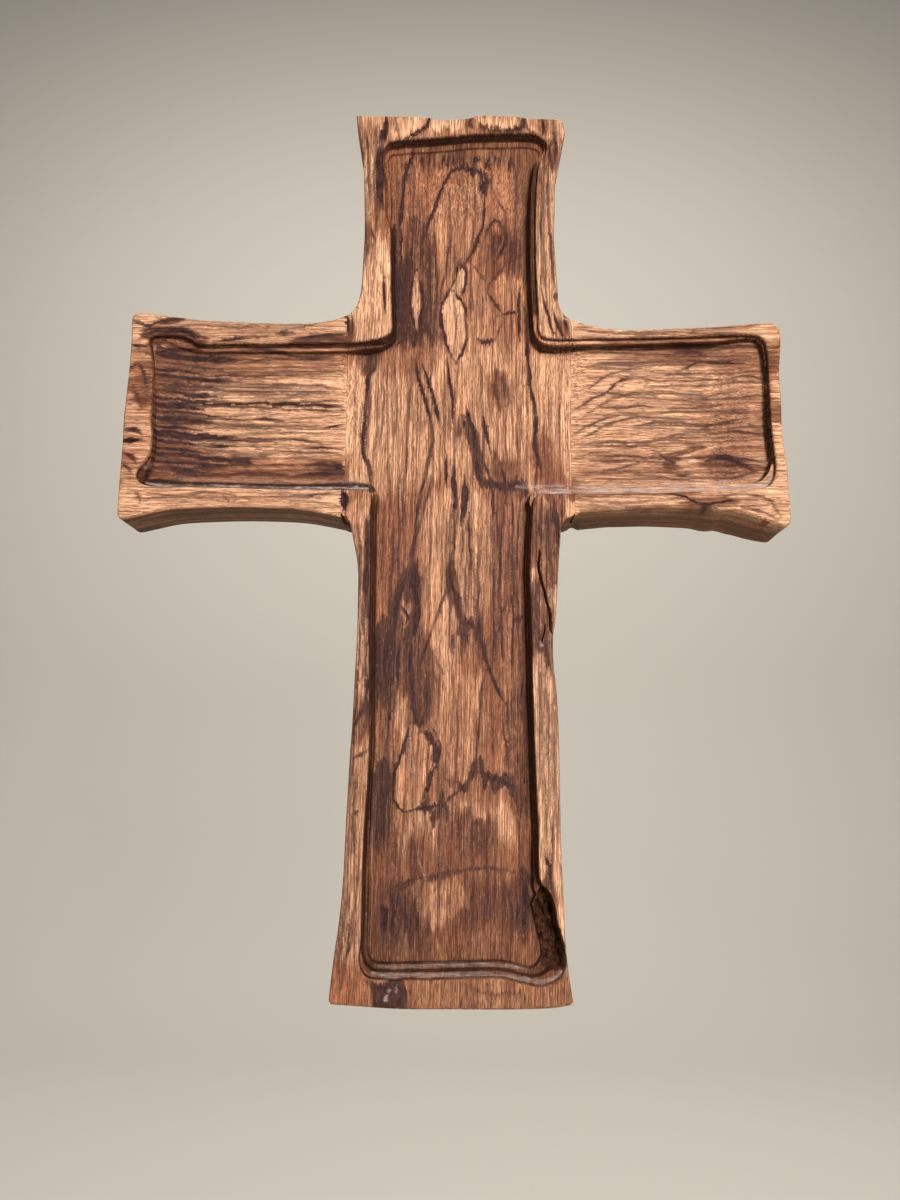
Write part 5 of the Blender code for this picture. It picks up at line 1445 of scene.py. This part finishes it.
def pocket_ring(grow):
    half, top, low, rad = 25.0 + grow, 102.0 + grow, 80.0 - grow, 4.0 + grow
    pts = []
    for cx, cz, a0 in ((half - rad, low + rad, -90), (half - rad, top - rad, 0), (-half + rad, top - rad, 90), (-half + rad, low + rad, 180)):
        for k in range(9):
            a = math.radians(a0 + 90 * k / 8)
            pts.append((cx + rad * math.cos(a), cz + rad * math.sin(a) - EYE_Z))
    return resample(np.array(pts), 1.0, True)


def circle(x, z, r, n=20):
    return np.array([(x + r * math.cos(2 * math.pi * k / n), z - EYE_Z + r * math.sin(2 * math.pi * k / n)) for k in range(n)])


upright_lines = [(np.array([(xx, hh) for xx in np.arange(-36.5, 37.6, 1.5)]), False) for hh in lap_heights]
upright_lines += [(pocket_ring(0.0), True), (pocket_ring(-0.05), True)]
for nx in (-18.6, 18.6):
    upright_lines += [(circle(nx, 94.4, 0.9), True), (circle(nx, 94.4, 0.86), True)]

upright = board(
    "upright_wood", upright_outline, upright_arris, False,
    {"vertical": False, "lines": [], "back": upright_back, "back_lines": upright_lines,
     "seam": lambda p: ((p[:, 1] > 77.5) & (p[:, 1] < 149.0) & (np.abs(p[:, 0]) > 38)).astype(float),
     "lean": lambda p: np.zeros(len(p))},
    0.67, 101)

# ---------------------------------------------------------------- the crossbar
arm_l = spline(ARM_L, 0.5)
arm_r = spline(ARM_R, 0.5)
xl, xr = SEAM_L - SEAM_GAP, SEAM_R + SEAM_GAP
xs = (xl, xl + STEP, xr - STEP, xr)


def with_across(line, values):
    return with_heights(line[:, ::-1], values)[:, ::-1]


top_mid = np.array([(xx, 148.3) for xx in np.arange(36.5, -36.6, -1.5)])
low_mid = np.array([(xx, 77.7) for xx in np.arange(-36.5, 36.6, 1.5)])
crossbar_outline = np.vstack([arm_l, low_mid, arm_r, top_mid])
crossbar_outline = with_across(np.vstack([crossbar_outline, crossbar_outline[:1]]), xs)[:-1]
if area(crossbar_outline) < 0:
    crossbar_outline = crossbar_outline[::-1].copy()


def crossbar_arris(P):
    x, z = P[:, 0], P[:, 1]
    r = np.full(len(P), 1.1)
    r = np.where((x > 40) & (z < 90), 0.9, r)
    r = r + 0.3 * np.abs(fbm(x / 7, z / 30, 2, 22))
    seam = np.minimum(np.abs(x - xl), np.abs(x - xr))
    return 0.05 + (r - 0.05) * step01(0.2, 4.0, seam)


def under_lean(p):
    """The saw leaned under the right arm, so the back of that edge hangs lower than the front."""
    drop = np.interp(p[:, 0], [40.2, 43, 54, 64, 75, 86, 96.6, 105, 111], [2.2, 2.0, 1.5, 1.9, 2.3, 2.7, 2.9, 1.9, 1.0])
    return drop * (p[:, 1] < 90) * step01(40.2, 43.5, p[:, 0]) * step01(112.1, 110.5, p[:, 0])


crossbar = board(
    "crossbar_wood", crossbar_outline, crossbar_arris, True,
    {"vertical": True, "lines": list(xs), "back": lambda p: np.zeros(len(p)), "back_lines": [],
     "seam": lambda p: (np.abs(p[:, 0]) < 38.0).astype(float),
     "lean": under_lean},
    0.54, 202)


# ================================================================ materials
class Net:
    """A material's nodes, written as short expressions."""

    def __init__(self, name):
        self.mat = bpy.data.materials.new(name)
        self.mat.use_nodes = True
        self.tree = self.mat.node_tree
        self.bsdf = self.tree.nodes["Principled BSDF"]
        self.count = 0

    def node(self, kind, **props):
        n = self.tree.nodes.new(kind)
        self.count += 1
        n.location = (-220 * (1 + self.count // 8), -160 * (self.count % 8))
        for k, v in props.items():
            setattr(n, k, v)
        return n

    def put(self, socket, value):
        if isinstance(value, bpy.types.NodeSocket):
            self.tree.links.new(value, socket)
        elif value is not None:
            socket.default_value = value

    def math(self, op, a, b=None, c=None, clamp=False):
        n = self.node("ShaderNodeMath", operation=op, use_clamp=clamp)
        for i, v in enumerate((a, b, c)):
            if v is not None:
                self.put(n.inputs[i], v)
        return n.outputs[0]

    def span(self, value, a, b, c=0.0, d=1.0, smooth=True):
        n = self.node("ShaderNodeMapRange", interpolation_type="SMOOTHSTEP" if smooth else "LINEAR")
        n.clamp = True
        for i, v in enumerate((value, a, b, c, d)):
            self.put(n.inputs[i], v)
        return n.outputs[0]

    def mix(self, fac, a, b, how="MIX"):
        n = self.node("ShaderNodeMix", data_type="RGBA", blend_type=how)
        n.clamp_factor = True
        self.put(n.inputs[0], fac)
        self.put(n.inputs[6], a if isinstance(a, bpy.types.NodeSocket) else (*a, 1.0))
        self.put(n.inputs[7], b if isinstance(b, bpy.types.NodeSocket) else (*b, 1.0))
        return n.outputs[2]

    def attr(self, name):
        a = self.node("ShaderNodeAttribute", attribute_name=name)
        a.attribute_type = "GEOMETRY"
        return a.outputs["Vector"]

    def split(self, vector):
        s = self.node("ShaderNodeSeparateXYZ")
        self.put(s.inputs[0], vector)
        return s.outputs

    def join(self, x, y, z):
        s = self.node("ShaderNodeCombineXYZ")
        for i, v in enumerate((x, y, z)):
            self.put(s.inputs[i], v)
        return s.outputs[0]

    def scaled(self, vector, xyz, shift=(0, 0, 0)):
        n = self.node("ShaderNodeVectorMath", operation="MULTIPLY_ADD")
        self.put(n.inputs[0], vector)
        n.inputs[1].default_value = xyz
        n.inputs[2].default_value = shift
        return n.outputs[0]

    def noise(self, vector, scale=1.0, detail=2.0, rough=0.5, distortion=0.0):
        n = self.node("ShaderNodeTexNoise", noise_dimensions="3D")
        self.put(n.inputs["Vector"], vector)
        n.inputs["Scale"].default_value = scale
        n.inputs["Detail"].default_value = detail
        n.inputs["Roughness"].default_value = rough
        n.inputs["Distortion"].default_value = distortion
        return n.outputs["Fac"]


def olive(name, shift, paler):
    """Oiled olive wood that reads the grain, the veins and the stains laid on the mesh."""
    m = Net(name)
    flow_v = m.attr("flow")
    fl = m.split(flow_v)
    vn = m.split(m.attr("vein"))
    st = m.split(m.attr("stain"))
    mk = m.split(m.attr("mark"))
    fb = m.split(m.attr("fibre"))
    fib = m.join(fb[0], fl[1], fl[2])
    sx = shift
    M = lambda a, b: m.math("MULTIPLY", a, b)
    A = lambda a, b: m.math("ADD", a, b)

    broad = m.noise(m.scaled(flow_v, (.20, .012, .20), (sx, 0, 0)), 1, 3, .55)
    mid = m.noise(m.scaled(flow_v, (.80, .034, .80), (sx, 3, 0)), 1, 3, .62)
    fine = m.noise(m.scaled(fib, (2.9, .080, 2.9), (sx, 7, 0)), 1, 4, .70)
    hair = m.noise(m.scaled(fib, (5.6, .26, 5.6), (sx, 11, 0)), 1, 2, .6)
    pore = m.noise(m.scaled(fib, (4.4, .42, 4.4), (sx, 19, 0)), 1, 1, .5)
    mottle = m.noise(m.scaled(fib, (.9, .36, .9), (sx, 23, 0)), 1, 4, .68)
    spot = m.noise(m.scaled(fib, (.30, .10, .30), (sx, 29, 0)), 1, 3, .6)
    comb = m.noise(m.scaled(fib, (2.6, .012, 2.6), (sx, 37, 0)), 1, 3, .7)
    field = m.noise(m.scaled(flow_v, (.15, .0075, .15), (sx, 31, 0)), 1, 1, .4)
    ring = m.math("ABSOLUTE", m.math("SUBTRACT", m.math("FRACT", M(field, 30.0)), 0.5))
    line = M(m.span(ring, .33, .5), m.span(mid, .40, .60))

    fray = m.math("SUBTRACT", A(M(fine, .6), M(mottle, .4)), .5)     # about -0.25 to 0.25

    teeth = m.noise(m.scaled(fib, (1.9, .02, 1.9), (sx, 43, 0)), 1, 3, .75)
    comb2 = M(m.math("SUBTRACT", teeth, .5), 1.5)

    def stain(value, reach=1.5, lo=.02, hi=.96, comb_k=.8):
        """A stain whose edge breaks up along the fibres."""
        return M(m.span(A(value, A(M(fray, reach), M(comb2, comb_k))), lo, hi), m.span(value, .0, .25))

    c = m.mix(m.span(broad, .36, .64), (.245, .088, .038), (.420, .186, .090))
    c = m.mix(m.span(spot, .42, .66, 0, .5), c, (.205, .068, .027))
    c = m.mix(M(stain(mk[0]), .8), c, (.510, .208, .094))
    c = m.mix(stain(A(st[0], paler), 1.6, .02, .92), c, (.690, .376, .216))
    c = m.mix(M(stain(st[2]), .85), c, (.196, .064, .032))
    c = m.mix(M(stain(M(st[1], 1.45), 2.5, .22, .92, 1.5), m.span(comb, .42, .62, 1.0, .72)), c, m.mix(m.span(A(M(hair, .5), M(mid, .5)), .44, .64), (.013, .0054, .0062), (.108, .039, .025)))
    # streaks along the grain
    k = M(M(m.span(fine, .30, .70, .36, 1.44, False), m.span(mid, .28, .72, .66, 1.30, False)), m.span(hair, .3, .7, .56, 1.38, False))
    c = m.mix(1.0, c, m.join(k, m.math("POWER", k, 1.10), m.math("POWER", k, 1.16)), "MULTIPLY")
    c = m.mix(M(line, .50), c, (.105, .038, .022))
    # hairline cracks and dark fibres
    dark_fibre = M(m.span(comb, .54, .63), m.span(mottle, .34, .58))
    c = m.mix(M(dark_fibre, .74), c, (.070, .024, .014))
    crack = m.noise(m.scaled(fib, (3.4, .030, 3.4), (sx, 53, 0)), 1, 3, .72)
    crack = M(m.span(crack, .600, .655), m.span(spot, .34, .56, .2, 1.0))
    c = m.mix(M(crack, .78), c, (.045, .016, .011))
    sc = M(mk[1], m.span(A(M(fine, .6), M(mottle, .5)), .50, .72, 1.0, .15))
    c = m.mix(M(sc, .96), c, (.030, .011, .007))
    dash = m.span(pore, .60, .70)
    c = m.mix(M(dash, .64), c, (.060, .022, .014))
    pale = m.span(pore, .34, .27)
    c = m.mix(M(pale, .20), c, (.700, .430, .280))
    # drawn veins: fibre by fibre they reach up or down the grain
    jump = M(m.math("SUBTRACT", teeth, .5), 7.0)
    rag = M(fray, 2.0)
    edge = A(A(vn[0], rag), M(jump, fb[1]))
    halo = M(m.span(edge, -1.7, .2), M(vn[1], .42))
    c = m.mix(halo, c, (.120, .044, .032))
    core = m.math("MULTIPLY", m.span(edge, -.34, .06), M(vn[1], 1.28), clamp=True)
    tint = m.mix(m.span(mottle, .38, .66), (.017, .006, .005), (.058, .022, .019))
    c = m.mix(core, c, tint)
    layer = m.noise(m.scaled(flow_v, (.10, .006, .42), (sx, 47, 0)), 1, 2, .5)
    c = m.mix(M(fb[2], m.span(layer, .38, .60, .30, .80)), c, (.078, .032, .011))
    # walls of the tray are burnt and fuzzy, with painted shade where they face away from the key light and at their
    # feet
    soot_and_shade = M(vn[2], m.span(A(M(fine, .5), M(mottle, .5)), .34, .66, 1.12, .62))
    c = m.mix(soot_and_shade, c, (.020, .0065, .0035))
    # dust
    # dust, and painted highlight strokes on the top edge of the head
    fluff = m.noise(m.scaled(flow_v, (3.4, .22, 3.4) if name == "olive_crossbar" else (.26, 3.4, 3.4)), 1, 4, .75)
    dust_and_highlight = M(mk[2], m.span(fluff, .42, .60, .15, 1.0))
    c = m.mix(dust_and_highlight, c, (.440, .350, .320))
    m.put(m.bsdf.inputs["Base Color"], c)

    rough = m.span(A(M(fine, .5), M(mottle, .5)), .3, .7, .44, .68)
    rough = A(rough, M(vn[2], .25))
    rough = m.math("ADD", rough, M(mk[2], .3), clamp=True)
    m.put(m.bsdf.inputs["Roughness"], rough)
    m.bsdf.inputs["Specular IOR Level"].default_value = 0.13

    relief = A(M(fine, 1.0), M(hair, .4))
    relief = A(relief, M(mottle, .5))
    relief = m.math("SUBTRACT", relief, M(dash, .5))
    relief = m.math("SUBTRACT", relief, M(dark_fibre, .5))
    relief = m.math("SUBTRACT", relief, M(core, .35))
    relief = m.math("SUBTRACT", relief, M(crack, .7))
    relief = A(relief, M(dust_and_highlight, .8))
    bump = m.node("ShaderNodeBump")
    bump.inputs["Strength"].default_value = 0.6
    bump.inputs["Distance"].default_value = 0.00028
    m.put(bump.inputs["Height"], relief)
    m.put(m.bsdf.inputs["Normal"], bump.outputs[0])
    return m.mat


def metal(name, base, dull, speck, scale):
    """Plated sheet or drawn wire with rubbed and tarnished places."""
    m = Net(name)
    tc = m.node("ShaderNodeTexCoord").outputs["Object"]
    brush = m.noise(m.scaled(tc, (90, 2600, 2600)), 1, 3, .6)
    cloud = m.noise(m.scaled(tc, (scale, scale, scale)), 1, 4, .6)
    grime = m.noise(m.scaled(tc, (scale * 5, scale * 5, scale * 5)), 1, 3, .6)
    c = m.mix(m.span(cloud, .35, .65), base, dull)
    c = m.mix(m.math("MULTIPLY", m.span(brush, .3, .7), .25), c, tuple(min(1, v * 1.25) for v in base))
    c = m.mix(m.math("MULTIPLY", m.span(grime, .60, .72), .7), c, speck)
    m.put(m.bsdf.inputs["Base Color"], c)
    m.bsdf.inputs["Metallic"].default_value = 1.0
    m.put(m.bsdf.inputs["Roughness"], m.span(m.math("ADD", m.math("MULTIPLY", cloud, .5), m.math("MULTIPLY", brush, .5)), .3, .7, .24, .5))
    bump = m.node("ShaderNodeBump")
    bump.inputs["Strength"].default_value = 0.3
    bump.inputs["Distance"].default_value = 0.00005
    m.put(bump.inputs["Height"], brush)
    m.put(m.bsdf.inputs["Normal"], bump.outputs[0])
    return m.mat


upright.data.materials.append(olive("olive_upright", 0.0, 0.0))
crossbar.data.materials.append(olive("olive_crossbar", 53.0, 0.04))

plated = metal("plated_steel", (.62, .50, .30), (.46, .37, .23), (.16, .10, .06), 160)
steel = metal("nail_steel", (.56, .56, .55), (.40, .40, .40), (.14, .11, .09), 420)
for node, mat in (("sawtooth_hanger", plated), ("hanger_nail_left", steel), ("hanger_nail_right", steel)):
    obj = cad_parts[node]
    if not obj.material_slots:
        obj.data.materials.append(mat)
    for s in obj.material_slots:
        s.material = mat

# ================================================================ ride on the frame
for piece, node, slot in ((upright, "upright", "olive_upright"), (crossbar, "crossbar", "olive_crossbar")):
    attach(piece, "root")
    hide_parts(node)

# ================================================================ floor, light, camera
def stage_sheet():
    """A pale floor that sweeps up into a pale backdrop far behind."""
    floor_z, wall_y, rad = -0.75, 2.6, 0.9
    prof = [(-3.0, floor_z), (wall_y - rad, floor_z)]
    for k in range(1, 13):
        a = math.radians(90 * k / 12)
        prof.append((wall_y - rad + rad * math.sin(a), floor_z + rad - rad * math.cos(a)))
    prof.append((wall_y, 4.0))
    xs_ = (-9.0, 9.0)
    verts = [(xx, yy, zz) for yy, zz in prof for xx in xs_]
    faces = [(2 * i, 2 * i + 1, 2 * i + 3, 2 * i + 2) for i in range(len(prof) - 1)]
    mesh = bpy.data.meshes.new("studio_floor")
    mesh.from_pydata(verts, [], faces)
    mesh.shade_smooth()
    obj = bpy.data.objects.new("studio_floor", mesh)
    bpy.context.scene.collection.objects.link(obj)
    mat = bpy.data.materials.new("studio_floor")
    mat.use_nodes = True
    b = mat.node_tree.nodes["Principled BSDF"]
    b.inputs["Base Color"].default_value = (.55, .52, .46, 1)
    b.inputs["Roughness"].default_value = 0.9
    mesh.materials.append(mat)
    return obj


stage_sheet()


def area_light(name, at, aim, size, power, colour):
    data = bpy.data.lights.new(name, "AREA")
    data.shape = "RECTANGLE"
    data.size, data.size_y = size
    data.energy = power
    data.color = colour
    obj = bpy.data.objects.new(name, data)
    obj.location = at
    obj.rotation_euler = (Vector(aim) - Vector(at)).to_track_quat("-Z", "Y").to_euler()
    bpy.context.scene.collection.objects.link(obj)
    return obj


area_light("key", (0.47, -1.72, 0.20), (0, 0, -0.03), (0.55, 0.55), 50, (1.0, 0.968, 0.93))
area_light("fill", (-1.5, -1.3, 0.5), (0, 0, -0.03), (1.6, 1.6), 6, (0.95, 0.97, 1.0))
area_light("backdrop", (0, 0.6, 1.9), (0, 2.2, -0.3), (3.0, 1.0), 56, (1.0, 0.98, 0.95))
area_light("behind", (0.8, 1.2, 0.9), (0, 0, 0), (1.2, 1.2), 6, (1.0, 0.98, 0.95))

world = bpy.data.worlds.new("studio")
world.use_nodes = True
world.node_tree.nodes["Background"].inputs[0].default_value = (.80, .80, .78, 1)
world.node_tree.nodes["Background"].inputs[1].default_value = 0.17
bpy.context.scene.world = world
bpy.context.scene.view_settings.view_transform = "Standard"
bpy.context.scene.view_settings.look = "None"

pitch, roll = math.radians(9.5), math.radians(0.75)
x0, u0 = Vector((1, 0, 0)), Vector((0, -math.sin(pitch), math.cos(pitch)))
ahead = Vector((0, math.cos(pitch), math.sin(pitch)))
right = math.cos(roll) * x0 + math.sin(roll) * u0
up = -math.sin(roll) * x0 + math.cos(roll) * u0
cam_data = bpy.data.cameras.new("camera")
cam_data.sensor_fit = "AUTO"
cam_data.sensor_width = 36.0
cam_data.lens = 905.0 / 1200.0 * 36.0
cam_data.clip_start, cam_data.clip_end = 0.01, 50.0
camera = bpy.data.objects.new("camera", cam_data)
rot = Matrix((right, up, -ahead)).transposed().to_4x4()
camera.matrix_world = Matrix.Translation((EYE_X * MM, (FRONT - EYE_D) * MM, EYE_Z * MM)) @ rot
bpy.context.scene.collection.objects.link(camera)
bpy.context.scene.camera = camera
